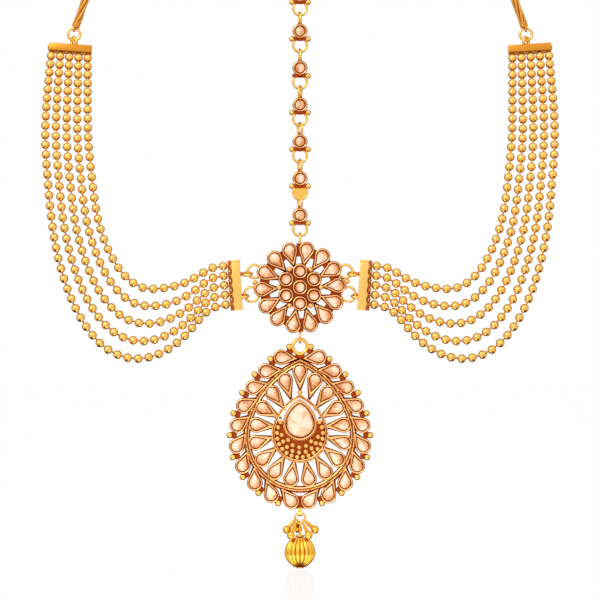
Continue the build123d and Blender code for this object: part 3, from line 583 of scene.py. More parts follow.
# The solid's wire says where things hang; the shown wire is a little thicker
LINK_RING = {"drop": 4.00, "radius": 1.95, "wire": 0.30, "shown_wire": 0.35}
LINK_BALL = {"x": 2.30, "y": -2.20, "radius": 0.85}
LINK_STRIP = {"width": 4.4, "height": 1.1, "y": -2.2}  # the sheet that joins the balls
LINK_SOLDER = (
    # middle and radius of a blob
    ((0, 2.10, 0.05), 0.62),
    ((0, -2.20, 0.25), 0.66),
)
LINK_WITH_ONE_BALL, LINK_WITH_DISC = 3, 6
DISC = {"radius": 1.8, "low": -0.12, "high": 0.14, "bevel": 0.05}
LOOP = {"radius": 1.60, "wire": 0.36}
LOOP_TURNS = (14, 8, 6, -14, 22, 18, 20)  # how far each link's loop is twisted from edge-on
PLAY = 0.07              # gap between wires that hang in each other
HOOK_EYE_WIRE_Z = -12.39


def loop_middle(above):
    """Middle height of a loop whose top wire rests over a wire at this height."""
    return above + LINK_RING["wire"] + PLAY + LOOP["wire"] - LOOP["radius"]


def link_ring_wire_z(number):
    z = middle_of(f"centre_stone_{number}").z
    return z - LINK_RING["drop"] - LINK_RING["radius"]


def centre_link(number, z):
    """One link: a collet, balls and solder at its foot, the ring below it and the loop that it hangs by."""
    above = HOOK_EYE_WIRE_Z if number == 1 else link_ring_wire_z(number - 1)
    setting, gold, solder = Work(), Work(), Work()
    add_round_collet(setting, 0, 0, LINK_COLLET_RADIUS)
    ring_y = -LINK_RING["drop"]
    gold.add(hoop(LINK_RING["radius"], LINK_RING["shown_wire"], middle=(0, ring_y, 0)))
    for side in (1,) if number == LINK_WITH_ONE_BALL else (-1, 1):
        gold.add(ball((side * LINK_BALL["x"], LINK_BALL["y"], 0), LINK_BALL["radius"]))
    turn = math.radians(LOOP_TURNS[number - 1])
    upright = (math.cos(turn), 0, -math.sin(turn))
    gold.add(hoop(LOOP["radius"], LOOP["wire"], normal=upright, middle=(0, loop_middle(above) - z, 0)))
    if number == LINK_WITH_DISC:
        disc = circle(DISC["radius"], count=28, y=ring_y)
        gold.add(plate(disc, DISC["low"], DISC["high"], DISC["bevel"]))
    solder.add(plate(rectangle(**LINK_STRIP), BACK / 2, WEB_TOP))
    for middle, radius in LINK_SOLDER:
        solder.add(ball(middle, radius))
    names = [f"centre_link_{number}"]
    piece(f"link_{number}_setting", setting.stand(z), HEAD, COLLET_METALS, names)
    piece(f"link_{number}_ring_and_loop", gold.stand(z), HEAD, (YELLOW_GOLD,))
    piece(f"link_{number}_solder", solder.stand(z), HEAD, (SOLDER,))


def centre_chain():
    stones = Work()
    for number in range(1, LINK_COUNT + 1):
        z = middle_of(f"centre_stone_{number}").z
        centre_link(number, z)
        stone = Work()
        add_round_stone(stone, 0, 0)
        # Each stone has its tones one step on from the stone above
        tones = [(tone + number) % 3 for tone in stone.finishes]
        stones.add((stone.stand(z).points, stone.faces), tones)
    names = [f"centre_stone_{number}" for number in range(1, LINK_COUNT + 1)]
    piece("link_stones", stones, HEAD, GLASS, names, sharp=0)


# Rosette ---------------------------------------------------------------

ROSETTE_Z = -100.4
PETALS, FIRST_PETAL = 14, 80.0  # how many, and the angle of the first
PETAL_MIDDLE = 10.95
PETAL_TAIL = 4.55
ROUND_SETTINGS = {"count": 6, "reach": 4.60, "radius": 2.10}
ROUND_GRANULES = {"reach": 6.0, "height": 0.75}
PETAL_GRANULES = (
    # angle, reach of the two granules among the petals
    (174.0, 12.9),
    (7.0, 13.5),
)
PETAL_GRANULE_HEIGHT, ROSETTE_GRANULE = 0.1, 0.75
SOLDER_DISC = 5.9
SOLDER_BAND = (8.8, 11.6)
LOOP_TAB = {"width": 2.0, "height": 3.5, "reach": 10.85}  # under each of the two loops
TAB_PROUD = 0.03         # how far a tab stands past the web that it crosses
ROSETTE_LOOP_RADIUS = 1.55
SIDE_RINGS = (
    # x, z, radius, height of the bar's eye
    (-13.0, -95.85, 1.90, -96.6),
    (-13.8, -102.4, 2.08, -102.9),
)
SIDE_RING_WIRE, SIDE_RING_DEPTH = 0.36, -0.25
PENDANT_RING = {"z": -117.25, "radius": 2.06, "wire": 0.49}


def polar(radius, angle, height=0.0):
    return Vector((radius * math.cos(math.radians(angle)), radius * math.sin(math.radians(angle)), height))


def rosette_settings():
    """The collets with their granules, the petal stones and the round stones."""
    collets, petals, rounds = Work(), Work(), Work()
    for i in range(PETALS):
        angle = FIRST_PETAL - 360 / PETALS * i
        at = polar(PETAL_MIDDLE, angle)
        setting = (at.x, at.y, math.radians(angle + 180))
        add_pear_collet(collets, setting, PETAL_TAIL, i)
        add_pear_stone(petals, setting)
    count, reach = ROUND_SETTINGS["count"], ROUND_SETTINGS["reach"]
    for at in [Vector()] + [polar(reach, 90 + 360 / count * i) for i in range(count)]:
        add_round_collet(collets, at.x, at.y, ROUND_SETTINGS["radius"])
        add_round_stone(rounds, at.x, at.y)
    for i in range(count):
        at = polar(ROUND_GRANULES["reach"], 360 / count * i, ROUND_GRANULES["height"])
        collets.add(ball(at, ROSETTE_GRANULE), 3)
    for angle, reach in PETAL_GRANULES:
        collets.add(ball(polar(reach, angle, PETAL_GRANULE_HEIGHT), ROSETTE_GRANULE), 3)
    return collets, petals, rounds


def rosette_solder():
    """Webs behind the settings: a disc, a band behind the petals, and a tab under each loop."""
    low = back_of(WEB_TOP)
    work = Work().add(plate(circle(SOLDER_DISC, count=60), low, WEB_TOP))
    work.add(washer(*SOLDER_BAND, low, WEB_TOP))
    for side in (-1, 1):
        tab = rectangle(LOOP_TAB["width"], LOOP_TAB["height"], 0, side * LOOP_TAB["reach"])
        work.add(plate(tab, BACK - TAB_PROUD, WEB_TOP + TAB_PROUD))
    return work


def rosette_rings():
    """The loops that hold the centre chain and the pendant's ring, and the rings at either side."""
    work = Work()
    top = loop_middle(link_ring_wire_z(LINK_COUNT)) - ROSETTE_Z
    ring_wire = PENDANT_RING["z"] + PENDANT_RING["radius"]
    foot = ring_wire - PENDANT_RING["wire"] - PLAY - LOOP["wire"] + ROSETTE_LOOP_RADIUS - ROSETTE_Z
    for y in (top + LOOP["radius"] - ROSETTE_LOOP_RADIUS, foot):
        work.add(hoop(ROSETTE_LOOP_RADIUS, LOOP["wire"], normal=(1, 0, 0), middle=(0, y, 0)))
    for x, z, radius, _ in SIDE_RINGS:
        for side in (-1, 1):
            work.add(hoop(radius, SIDE_RING_WIRE, middle=(-side * x, z - ROSETTE_Z, SIDE_RING_DEPTH)))
    return work


def rosette():
    collets, petals, rounds = rosette_settings()
    metals = (*COLLET_METALS, GRANULE_GOLD)
    piece("rosette_settings", collets.stand(ROSETTE_Z), HEAD, metals, ["rosette_frame"])
    piece("rosette_solder_webs", rosette_solder().stand(ROSETTE_Z), HEAD, (SOLDER,))
    piece("rosette_rings", rosette_rings().stand(ROSETTE_Z), HEAD, (YELLOW_GOLD,))
    for name, stones in (("petal", petals), ("round", rounds)):
        names = [f"rosette_{name}_stones"]
        piece(f"rosette_{name}_glass", stones.stand(ROSETTE_Z), HEAD, GLASS, names, sharp=0)


# Pendant ---------------------------------------------------------------

PENDANT_Z = -142.8
SET_BACK = 0.30
OUTER_ROW = {
    "half_width": 17.67, "apex": 25.9, "drop": 0.55, "pitch": 5.79, "pairs": 10, "slant": 42.0, "tail": 4.70,
}
INNER_ROW = {"half_width": 12.06, "apex": 17.6, "drop": -0.3, "count": 17, "aim": 1.8, "tail": 5.40}
LINE_STEP = 0.1          # how finely the lines are drawn that settings and granules are placed along
RIM_GRANULES = {"half_width": 20.04, "apex": 26.8, "pitch": 6.35, "pairs": 10, "radius": 0.95}
RIM_WEB = {"inset": -1.10, "radius": 1.0, "top": 0.15}
BORDER = (15.13, 21.2)   # half width and apex of the line between the rows of stones
CRESCENT = (7.70, 10.8)  # and of the line round the crescent
CRESCENT_RISE = 0.55     # how far the crescent's middle lies over the pendant's
CRESCENT_FLOOR = 3.9     # the floor reaches up to here
CRESCENT_ROWS = (
    # radius, first angle, last angle, granules
    (6.55, 148, 392, 18),
    (5.20, 182, 352, 9),
    (3.75, 205, 328, 5),
)
CRESCENT_GRANULE = {"radius": 0.69, "height": 0.85}
APEX_GRANULE = ((0, 12.4, 0.65), 0.75)
TWISTED_WIRES = (
    # line, place outside it, a strand's radius, its reach from the twist's middle, pitch, height, rise
    (BORDER, 0.36, 0.18, 0.16, 1.15, 0.68, 0.0),
    (CRESCENT, 0.24, 0.15, 0.13, 0.95, 0.90, CRESCENT_RISE),
)
PLAIN_WIRES = (
    # line, place outside it, radius, height, rise
    (BORDER, -0.38, 0.24, 0.72, 0.0),
    (CRESCENT, -0.28, 0.16, 0.92, CRESCENT_RISE),
)
BANDS = (
    # line, outer edge and inner edge from it, top, rise
    (BORDER, 1.05, -0.95, 0.20, 0.0),
    (BORDER, 0.62, -0.62, 0.50, 0.0),
    (CRESCENT, 0.42, -0.42, 0.72, CRESCENT_RISE),
)
RING_TAB = {"width": 2.6, "height": 1.8, "inset": 0.6}
BAIL_TAB = {"width": 3.0, "height": 3.6, "y": -18.82}
DROP_RING = {"z": -166.1, "radius": 1.47, "wire": 0.25, "shown_wire": 0.29}
BAIL_BORE, BAIL_HALF_WIDTH = 0.85, 0.55  # half the solid's width; the shown bail is a hair wider
BAIL_PROFILE = (
    # radius, place along the bore
    (BAIL_BORE, -0.58),
    (1.38, -0.58),
    (1.45, 0.0),
    (1.38, 0.58),
    (BAIL_BORE, 0.58),
)
BAIL_HANG = math.sqrt((DROP_RING["radius"] - DROP_RING["wire"]) ** 2 - BAIL_HALF_WIDTH**2)
BAIL_Z = DROP_RING["z"] + BAIL_HANG - PLAY + BAIL_BORE
CENTRE = {"half_width": 4.05, "apex": 6.00, "rise": 3.58, "wall": 0.60, "rim": 1.90, "lip": 0.105}
CENTRE_GRAINS = {"out": 0.12, "pitch": 0.62, "radius": 0.26, "height": 0.75}
CENTRE_PLAY = (0.14, 0.2)  # how much less the stone's half width and apex are than the collet's
CENTRE_MEET = (0.1, -0.7)  # where its facets draw in to, from its middle
CENTRE_LEVELS = (
    # share of the outline, height
    (0.97, 0.15),
    (1.0, 1.35),
    (0.86, 1.80),
    (0.04, 2.34),
)
CENTRE_DIM_SIDE = (-128, -58)  # the top's facets in these directions are less bright


def outer_row():
    side = pear_side(OUTER_ROW["half_width"], OUTER_ROW["apex"], step=LINE_STEP)
    found = []
    for at, run in along(side, [OUTER_ROW["pitch"] * (i + 0.5) for i in range(OUTER_ROW["pairs"])]):
        aim = math.atan2(run.y, run.x) + math.radians(OUTER_ROW["slant"])
        for turn, mirrored_aim in ((1, aim), (-1, math.pi - aim)):
            found.append(set_pear(turn * at.x, at.y - OUTER_ROW["drop"], mirrored_aim))
    return found


def inner_row():
    side = pear_side(INNER_ROW["half_width"], INNER_ROW["apex"], step=LINE_STEP)
    pitch = 2 * path_length(side) / INNER_ROW["count"]
    found = []
    for at, _ in along(side, [pitch * (i + 0.5) for i in range(INNER_ROW["count"] // 2)]):
        for x in (at.x, -at.x):
            found.append(set_pear(x, at.y - INNER_ROW["drop"], math.atan2(INNER_ROW["aim"] - at.y, -x)))
    found.append(set_pear(0, INNER_ROW["apex"] - INNER_ROW["drop"], -math.pi / 2))
    return found


def rim_places(grow):
    """Places along the rim, or along a line that runs this far outside it."""
    rim = pear_side(RIM_GRANULES["half_width"], RIM_GRANULES["apex"], step=LINE_STEP)
    line = pear_side(RIM_GRANULES["half_width"], RIM_GRANULES["apex"], grow, LINE_STEP)
    share = path_length(line) / path_length(rim)
    distances = [RIM_GRANULES["pitch"] * (i + 1) * share for i in range(RIM_GRANULES["pairs"])]
    return [(turn * at.x, at.y) for at, _ in along(line, distances) for turn in (-1, 1)]


def lifted(form, y):
    return [p + Vector((0, y, 0)) for p in form[0]], form[1]


def pear_band(line, out, inwards, top):
    """A band of sheet along a pear, between these distances outside its line."""
    outer, inner = pear(*line, out), pear(*line, inwards)
    low = back_of(top)
    loops = [at_height(inner, low), at_height(outer, low), at_height(outer, top), at_height(inner, top)]
    return loft(loops, wrap=True)


def pendant_settings():
    """The collets of both rows, the outer stones and the inner stones."""
    collets, outer, inner = Work(), Work(), Work()
    rows = ((outer_row(), OUTER_ROW["tail"], outer), (inner_row(), INNER_ROW["tail"], inner))
    for settings, tail, stones in rows:
        for i, setting in enumerate(settings):
            add_pear_collet(collets, setting, tail, i)
            add_pear_stone(stones, setting)
    return collets, outer, inner


def border_wires():
    """A twisted wire with a plain one inside it, between the rows and round the crescent."""
    work = Work()
    for twisted, plain in zip(TWISTED_WIRES, PLAIN_WIRES):
        line, out, strand, reach, pitch, height, rise = twisted
        work.add(lifted(twisted_wire(pear(*line, out), strand, reach, pitch, height), rise))
        line, out, radius, height, rise = plain
        path = at_height(evenly(pear(*line, out), pitch=0.45), height)
        work.add(lifted(wire(path, radius, sides=8, closed=True), rise))
    return work


def pendant_solder():
    """Bands under the wires, the crescent's floor, webs behind the rim's granules, and the tabs."""
    work = Work()
    for line, out, inwards, top, rise in BANDS:
        work.add(lifted(pear_band(line, out, inwards, top), rise))
    below = [p for p in pear(*CRESCENT) if p.y < CRESCENT_FLOOR]
    work.add(lifted(plate(below, back_of(FLOOR), FLOOR, bevel=0.02), CRESCENT_RISE))
    for x, y in rim_places(RIM_WEB["inset"]):
        web = circle(RIM_WEB["radius"], count=20, x=x, y=y)
        work.add(plate(web, back_of(RIM_WEB["top"]), RIM_WEB["top"]))
    ring_foot = PENDANT_RING["z"] - PENDANT_Z - PENDANT_RING["radius"]
    tab = rectangle(RING_TAB["width"], RING_TAB["height"], 0, ring_foot - RING_TAB["inset"])
    work.add(plate(tab, back_of(WEB_TOP), WEB_TOP))
    return work.add(plate(rectangle(**BAIL_TAB), BACK - TAB_PROUD, WEB_TOP + TAB_PROUD))


def crescent_granules():
    work = Work()
    for radius, first, last, count in CRESCENT_ROWS:
        for i in range(count):
            at = polar(radius, first + (last - first) * i / (count - 1), CRESCENT_GRANULE["height"])
            at += Vector((0, CRESCENT_RISE, 0))
            work.add(ball(at, CRESCENT_GRANULE["radius"], segments=14, rings=9))
    return work.add(ball(*APEX_GRANULE))


def rim_granules():
    work = Work()
    for x, y in rim_places(0.0):
        work.add(ball((x, y, FLOOR), RIM_GRANULES["radius"]))
    return work


def ring_and_bail():
    """The ring that hangs the pendant, and the bored bail at its foot that holds the drop."""
    ring_y = PENDANT_RING["z"] - PENDANT_Z
    work = Work().add(hoop(PENDANT_RING["radius"], PENDANT_RING["wire"], middle=(0, ring_y, SET_BACK)))
    loops = [circle(radius, count=32, height=place) for radius, place in BAIL_PROFILE]
    points, faces = loft(loops, wrap=True)
    return work.add(([Vector((p.z, p.y + BAIL_Z - PENDANT_Z, -p.x + SET_BACK)) for p in points], faces))


def centre_collet():
    """The tall collet in the middle, in a ring of fine grains."""
    work = Work()
    half_width, apex, rise = CENTRE["half_width"], CENTRE["apex"], CENTRE["rise"]
    outer = pear(half_width, apex, CENTRE["wall"], step=0.4)
    inner = blend_loops(outer, [Vector()] * len(outer), CENTRE["lip"], 0)
    add_collet(work, outer, inner, CENTRE["rim"], Matrix.Translation((0, rise, 0)))
    line = pear(half_width, apex, CENTRE["wall"] + CENTRE_GRAINS["out"], step=0.3)
    for at in evenly(line, CENTRE_GRAINS["pitch"]):
        place = (at.x, at.y + rise, CENTRE_GRAINS["height"])
        work.add(ball(place, CENTRE_GRAINS["radius"], segments=8, rings=6))
    return work


def centre_stone():
    """A tall stone of few facets, which meet a little under its middle."""
    rise = CENTRE["rise"]
    outline = pear(CENTRE["half_width"] - CENTRE_PLAY[0], CENTRE["apex"] - CENTRE_PLAY[1], step=1.5)
    outline = [p + Vector((0, rise, 0)) for p in outline]
    meet = Vector((CENTRE_MEET[0], rise + CENTRE_MEET[1], 0))
    loops = []
    for share, height in CENTRE_LEVELS:
        loops.append(at_height([meet + (p - meet) * share for p in outline], height))
    count = len(outline)
    # Facet tones are painted light and shade: the top's facets are lit, except those that face the dim side
    tones = [HALF_LIT_FACET] * count + [(HALF_LIT_FACET, SHADED_FACET, HALF_LIT_FACET, LIT_FACET)[i % 4] for i in range(count)]
    first, last = CENTRE_DIM_SIDE
    for i, p in enumerate(outline):
        steep = math.degrees(math.atan2(p.y - meet.y, p.x - meet.x))
        tones.append(HALF_LIT_FACET if first < steep < last or i % 5 == 2 else LIT_FACET)
    return Work().add(loft(loops, caps=(True, True)), tones + [LIT_FACET, LIT_FACET])


def pendant():
    collets, outer, inner = pendant_settings()
    metals = (
        ("settings", collets, COLLET_METALS, "gold_metal", ["pendant_frame"]),
        ("twisted_wires", border_wires(), (ROSE_GOLD,), "gold_metal", []),
        ("solder", pendant_solder(), (SOLDER,), "gold_metal", []),
        ("crescent_granules", crescent_granules(), (GRANULE_GOLD,), "gold_metal", []),
        ("rim_granules", rim_granules(), (YELLOW_GOLD,), "bright_gold_metal", []),
        ("ring_and_bail", ring_and_bail(), (YELLOW_GOLD,), "bright_gold_metal", []),
        ("centre_collet", centre_collet(), COLLET_METALS, "gold_metal", []),
    )
    for name, work, finishes, slot, names in metals:
        piece(f"pendant_{name}", work.stand(PENDANT_Z, SET_BACK), PENDANT, finishes, names)
    stones = (("outer_stones", outer), ("inner_stones", inner), ("centre_stone", centre_stone()))
    for name, work in stones:
        work.stand(PENDANT_Z, SET_BACK)
        piece(f"pendant_{name}_glass", work, PENDANT, GLASS, [f"pendant_{name}"], sharp=0)


# Drop ------------------------------------------------------------------

DANGLERS = (
    # place round the ring from its foot, ball's middle from the ring's middle, ball's radius
    (-66, (-3.76, 0.0, -3.36), 1.15),
    (-42, (-2.60, -3.0, -4.90), 1.15),
    (-21, (-0.50, 3.4, -3.30), 1.15),
    (30, (2.45, -2.9, -4.80), 1.15),
    (58, (4.25, 0.0, -3.36), 1.15),
)
DANGLER_LOOP = {"radius": 0.48, "wire": 0.20}
DANGLER_WIRES = {"apart": 0.27, "waist": 0.4, "radii": [0.24, 0.32, 0.36]}
BEAD_TOP_Z = -171.7
BEAD_RIBS, POINTS_PER_RIB = 18, 10
GROOVE = {"depth": 0.115, "roundness": 0.8}  # its depth is a share of the rib's radius
COLLAR = {"radius": 0.92, "wire": 0.38, "lift": 0.45}
BEAD_PROFILE = (
    # depth under the bead's top, rib radius
    (0.0, 2.30),
    (1.0, 3.20),
    (2.0, 3.80),
    (3.2, 4.25),
    (4.6, 4.40),
    (6.0, 4.02),
    (7.3, 3.05),
    (8.4, 1.70),
)


def smooth_profile(profile, steps):
    """A profile's rows again, with points between them on a smooth curve."""
    rows = [profile[0], *profile, profile[-1]]
    found = []
    for a, b, c, d in zip(rows, rows[1:], rows[2:], rows[3:]):
        for k in range(steps):
            t = k / steps
            weights = (
                -0.5 * t + t**2 - 0.5 * t**3,
                1 - 2.5 * t**2 + 1.5 * t**3,
                0.5 * t + 2 * t**2 - 1.5 * t**3,
                -0.5 * t**2 + 0.5 * t**3,
            )
            found.append(tuple(sum(w * row[i] for w, row in zip(weights, (a, b, c, d))) for i in (0, 1)))
    return found + [profile[-1]]


def dangler(angle, offset, radius):
    """A ball on a doubled wire, whose loop hangs on the drop's ring."""
    a = math.radians(angle)
    ring = Vector((0, 0, DROP_RING["z"]))
    point = Vector((DROP_RING["radius"] * math.sin(a), 0, DROP_RING["z"] - DROP_RING["radius"] * math.cos(a)))
    run = Vector((math.cos(a), 0, math.sin(a)))
    middle = Vector(offset) + ring
    outwards = middle - point
    outwards = (outwards - run * outwards.dot(run)).normalized()
    foot = point + outwards * DANGLER_LOOP["radius"]
    size = DANGLER_LOOP["radius"], DANGLER_LOOP["wire"]
    work = Work().add(hoop(*size, count=24, sides=8, normal=run, middle=point))
    for turn in (-1, 1):
        apart = run * (DANGLER_WIRES["apart"] * turn)
        path = [foot + apart * 0.5, foot.lerp(middle, DANGLER_WIRES["waist"]) + apart, middle + apart]
        work.add(wire(path, DANGLER_WIRES["radii"]))
    return work.add(ball(middle, radius, axis=middle - foot, segments=24, rings=14))


def ribbed_bead():
    count = BEAD_RIBS * POINTS_PER_RIB
    loops = []
    for depth, rib in smooth_profile(BEAD_PROFILE, steps=4):
        loop = []
        for i in range(count):
            angle = math.tau * i / count
            bulge = abs(math.cos(angle * BEAD_RIBS / 2)) ** GROOVE["roundness"]
            radius = rib * (1 - GROOVE["depth"] * (1 - bulge))
            loop.append(Vector((radius * math.cos(angle), radius * math.sin(angle), BEAD_TOP_Z - depth)))
        loops.append(loop)
    return Work().add(loft(loops[::-1], caps=(True, True)))


def drop():
    gold, shine = (YELLOW_GOLD,), "bright_gold_metal"
    ring = hoop(DROP_RING["radius"], DROP_RING["shown_wire"], normal=(0, 1, 0), middle=(0, 0, DROP_RING["z"]))
    piece("drop_ring_wire", Work().add(ring), PENDANT, gold, ["drop_ring"])
    for number, row in enumerate(DANGLERS, start=1):
        piece(f"drop_ball_{number}", dangler(*row), PENDANT, (BEAD_GOLD,), [f"drop_dangler_{number}"])
    piece("ribbed_bead", ribbed_bead(), PENDANT, (BEAD_GOLD,), ["melon_bead"], sharp=60)
    top = (0, 0, BEAD_TOP_Z + COLLAR["lift"])
    collar = hoop(COLLAR["radius"], COLLAR["wire"], count=32, sides=12, middle=top)
    piece("bead_collar_ring", Work().add(collar), PENDANT, gold, ["bead_collar"])


# Side strands ----------------------------------------------------------

BALL_RADIUS, BALL_PITCH = 1.26, 3.05
NECK_RADIUS, NECK_SPAN = 0.25, (0.3, 0.7)  # wire between balls, and the part of their pitch that it takes
STRAND_COUNT = 5
STRAND_ROUTE = (
    # left side, outer bar to inner bar: x and z of the outermost strand, x and z of the innermost, depth
    (-71.5, -31.3, -61.2, -32.0, 22.0),
    (-72.5, -45.6, -60.9, -46.1, 11.9),
    (-72.8, -58.3, -60.5, -58.3, 5.3),
    (-71.9, -70.4, -59.3, -69.8, 1.4),
    (-70.5, -83.5, -57.4, -81.8, 0.1),
    (-67.5, -97.2, -53.6, -91.8, 0.0),
    (-61.6, -110.6, -49.0, -98.0, 0.0),
    (-53.6, -118.8, -43.9, -100.7, 0.0),
    (-45.6, -120.7, -39.9, -100.7, 0.0),
    (-37.6, -118.0, -34.2, -99.6, 0.0),
    (-30.8, -112.0, -28.5, -96.8, 0.0),
    (-25.1, -106.4, -24.5, -94.7, 0.0),
    (-18.15, -105.1, -18.85, -94.5, 0.0),
)


def spline(points, steps=24):
    """A smooth curve through points: cubic pieces with continuous bending."""
    count = len(points)
    gaps = [(b - a).length for a, b in zip(points, points[1:])]
    lower, middle, upper, right = [0.0] * count, [1.0] * count, [0.0] * count, [Vector()] * count
    for i in range(1, count - 1):
        lower[i], middle[i], upper[i] = gaps[i - 1], 2 * (gaps[i - 1] + gaps[i]), gaps[i]
        right[i] = 6 * ((points[i + 1] - points[i]) / gaps[i] - (points[i] - points[i - 1]) / gaps[i - 1])
    for i in range(1, count):
        factor = lower[i] / middle[i - 1]
        middle[i] -= factor * upper[i - 1]
        right[i] = right[i] - factor * right[i - 1]
    bends = [Vector()] * count
    for i in range(count - 2, 0, -1):
        bends[i] = (right[i] - upper[i] * bends[i + 1]) / middle[i]
    found = []
    for i, gap in enumerate(gaps):
        for k in range(steps):
            b = k / steps
            a = 1 - b
            bend = (a**3 - a) * bends[i] + (b**3 - b) * bends[i + 1]
            found.append(a * points[i] + b * points[i + 1] + bend * gap**2 / 6)
    return found + [points[-1]]


def strand_line(number):
    """The line of one strand, counted from the outermost inwards."""
    share = (number - 1) / (STRAND_COUNT - 1)
    return [
        Vector((x + (inner_x - x) * share, depth, z + (inner_z - z) * share))
        for x, z, inner_x, inner_z, depth in STRAND_ROUTE
    ]


def strand_places(number):
    line = spline(strand_line(number))
    total = path_length(line)
    count = round(total / BALL_PITCH)
    return along(line, [total * i / count for i in range(count + 1)])


def both_sides(name, work, finishes, solid):
    """The left piece and its mirror image, each in the place of its own solid."""
    piece(f"{name}_left", work, HEAD, finishes, [f"{solid}_left"])
    piece(f"{name}_right", work.mirrored(), HEAD, finishes, [f"{solid}_right"])


def side_strands():
    for number in range(1, STRAND_COUNT + 1):
        work = Work()
        places = strand_places(number)
        for at, run in places:
            work.add(ball(at, BALL_RADIUS, axis=run, segments=18, rings=12))
        for (a, _), (b, _) in zip(places, places[1:]):
            work.add(wire([a.lerp(b, share) for share in NECK_SPAN], NECK_RADIUS, sides=8), 1)
        metals = (BALL_GOLD, NECK_GOLD)
        both_sides(f"balls_{number}", work, metals, f"ball_chain_{number}")


# Bars that gather the strands ------------------------------------------

BAR = {"wall": 0.35, "depth": 3.25, "bevel": 0.10, "knob": 0.70, "knob_inset": 0.50}
BAR_SKIN = {"inset": 0.04, "thick": 0.10, "bevel": 0.03}
FOLD_INSET = 0.1         # how much the folded side falls short of the bar, in length and in depth
END_WALL = {"longer": 0.5, "back": 0.05, "proud": 0.02}
# The last value gives the thickness of each end's wall, the upper one first
INNER_BAR = {
    "length": 14.30, "front": 2.40, "apron": 1.75, "cavity": 1.40, "slide": 0.0, "end_walls": (0.60, 0.35),
}
OUTER_BAR = {
    "length": 12.40, "front": 2.05, "apron": 1.25, "cavity": 0.95, "slide": -0.15, "end_walls": (),
}
OUTER_BAR_LEAN = 6.0
EYE = {"radius": 1.15, "wire": 0.47, "shift": 0.24, "tilt": 18.0, "solder": 0.62}
OUTER_EYE = {"radius": 1.10, "turn": 42.0}


def add_bar(work, bar, strand_pitch, place):
    """A folded bar: its mouth faces -x, its length runs along y, and its back sheet runs out as an apron."""
    wall, depth, half = BAR["wall"], BAR["depth"], BAR["depth"] / 2
    front, length, closed = bar["front"], bar["length"], bar["cavity"] + BAR["wall"]
    back = closed + bar["apron"]

    def sheet(size, x, y, z, finish=0, bevel=BAR["bevel"]):
        at = place @ Matrix.Translation((x, bar["slide"] + y, z))
        work.add(block(size, bevel, at), finish)

    sheet((front, length, wall), closed - front / 2, 0, half - wall / 2)
    # The back sheet's inside, in the shade under the front strip, takes finish 1: painted red-brown shade
    sheet((back, length, wall), closed - back / 2, 0, wall / 2 - half, finish=1)
    # The back sheet is clean gold outside
    inset = BAR_SKIN["inset"]
    skin = (back - inset, length - inset, BAR_SKIN["thick"])
    sheet(skin, closed - back / 2, 0, inset - half, bevel=BAR_SKIN["bevel"])
    sheet((wall, length - FOLD_INSET, depth - FOLD_INSET), closed - wall / 2, 0, 0)
    for side, thick in zip((1, -1), bar["end_walls"]):
        size = (closed + END_WALL["longer"], thick, depth + END_WALL["proud"])
        sheet(size, closed / 2 - END_WALL["back"], side * (length - thick) / 2, 0)
    for i in range(STRAND_COUNT - 1):
        y = strand_pitch * (i - (STRAND_COUNT - 2) / 2)
        at = place @ Vector((BAR["knob_inset"] - bar["apron"], y, wall - half))
        work.add(ball(at, BAR["knob"]), 2)


def strand_ends(index):
    first, last = strand_line(1)[index], strand_line(STRAND_COUNT)[index]
    return (first + last) / 2, last - first


def inner_bars():
    middle, run = strand_ends(-1)
    tilt = math.atan2(-run.x, run.z)
    place = Matrix.Translation(middle) @ Matrix.Rotation(math.pi / 2, 4, "X") @ Matrix.Rotation(tilt, 4, "Z")
    work = Work()
    add_bar(work, INNER_BAR, run.length / (STRAND_COUNT - 1), place)
    for x, z, radius, eye_z in SIDE_RINGS:
        eye_x = x - math.sqrt(radius**2 - (eye_z - z) ** 2) - EYE["shift"]
        lean = math.radians(EYE["tilt"])
        at = Vector((eye_x, -SIDE_RING_DEPTH, eye_z))
        work.add(hoop(EYE["radius"], EYE["wire"], normal=(0, -math.sin(lean), math.cos(lean)), middle=at))
        wall_x = middle.x + INNER_BAR["cavity"] + BAR["wall"] - math.tan(tilt) * (eye_z - middle.z)
        work.add(ball((wall_x, at.y, at.z), EYE["solder"]), 1)
    metals = (BAR_GOLD, BAR_SHADE_AND_SOLDER, GRANULE_GOLD)
    both_sides("strand_bar", work, metals, "inner_bar")


def outer_bars():
    middle, run = strand_ends(0)
    tilt = math.atan2(-run.z, run.x)
    lean = math.radians(OUTER_BAR_LEAN)
    across = Vector((0, math.sin(lean), math.cos(lean)))
    front = Vector((0, -math.cos(lean), math.sin(lean)))
    leaning = Matrix((across, front.cross(across), front)).transposed().to_4x4()
    place = Matrix.Translation(middle) @ Matrix.Rotation(tilt, 4, "Y") @ leaning
    work = Work()
    add_bar(work, OUTER_BAR, run.length / (STRAND_COUNT - 1), place)
    x, y, z = CORD_RING["at"]
    turn = math.radians(OUTER_EYE["turn"])
    top = z - CORD_RING["radius"] + CORD_RING["wire"] + PLAY + EYE["wire"]
    at = (x, y, top - OUTER_EYE["radius"])
    work.add(hoop(OUTER_EYE["radius"], EYE["wire"], normal=(math.cos(turn), math.sin(turn), 0), middle=at), 3)
    metals = (AMBER_GOLD, BAR_SHADE_AND_SOLDER, GRANULE_GOLD, YELLOW_GOLD)
    both_sides("end_bar", work, metals, "outer_bar")


# Cords -----------------------------------------------------------------

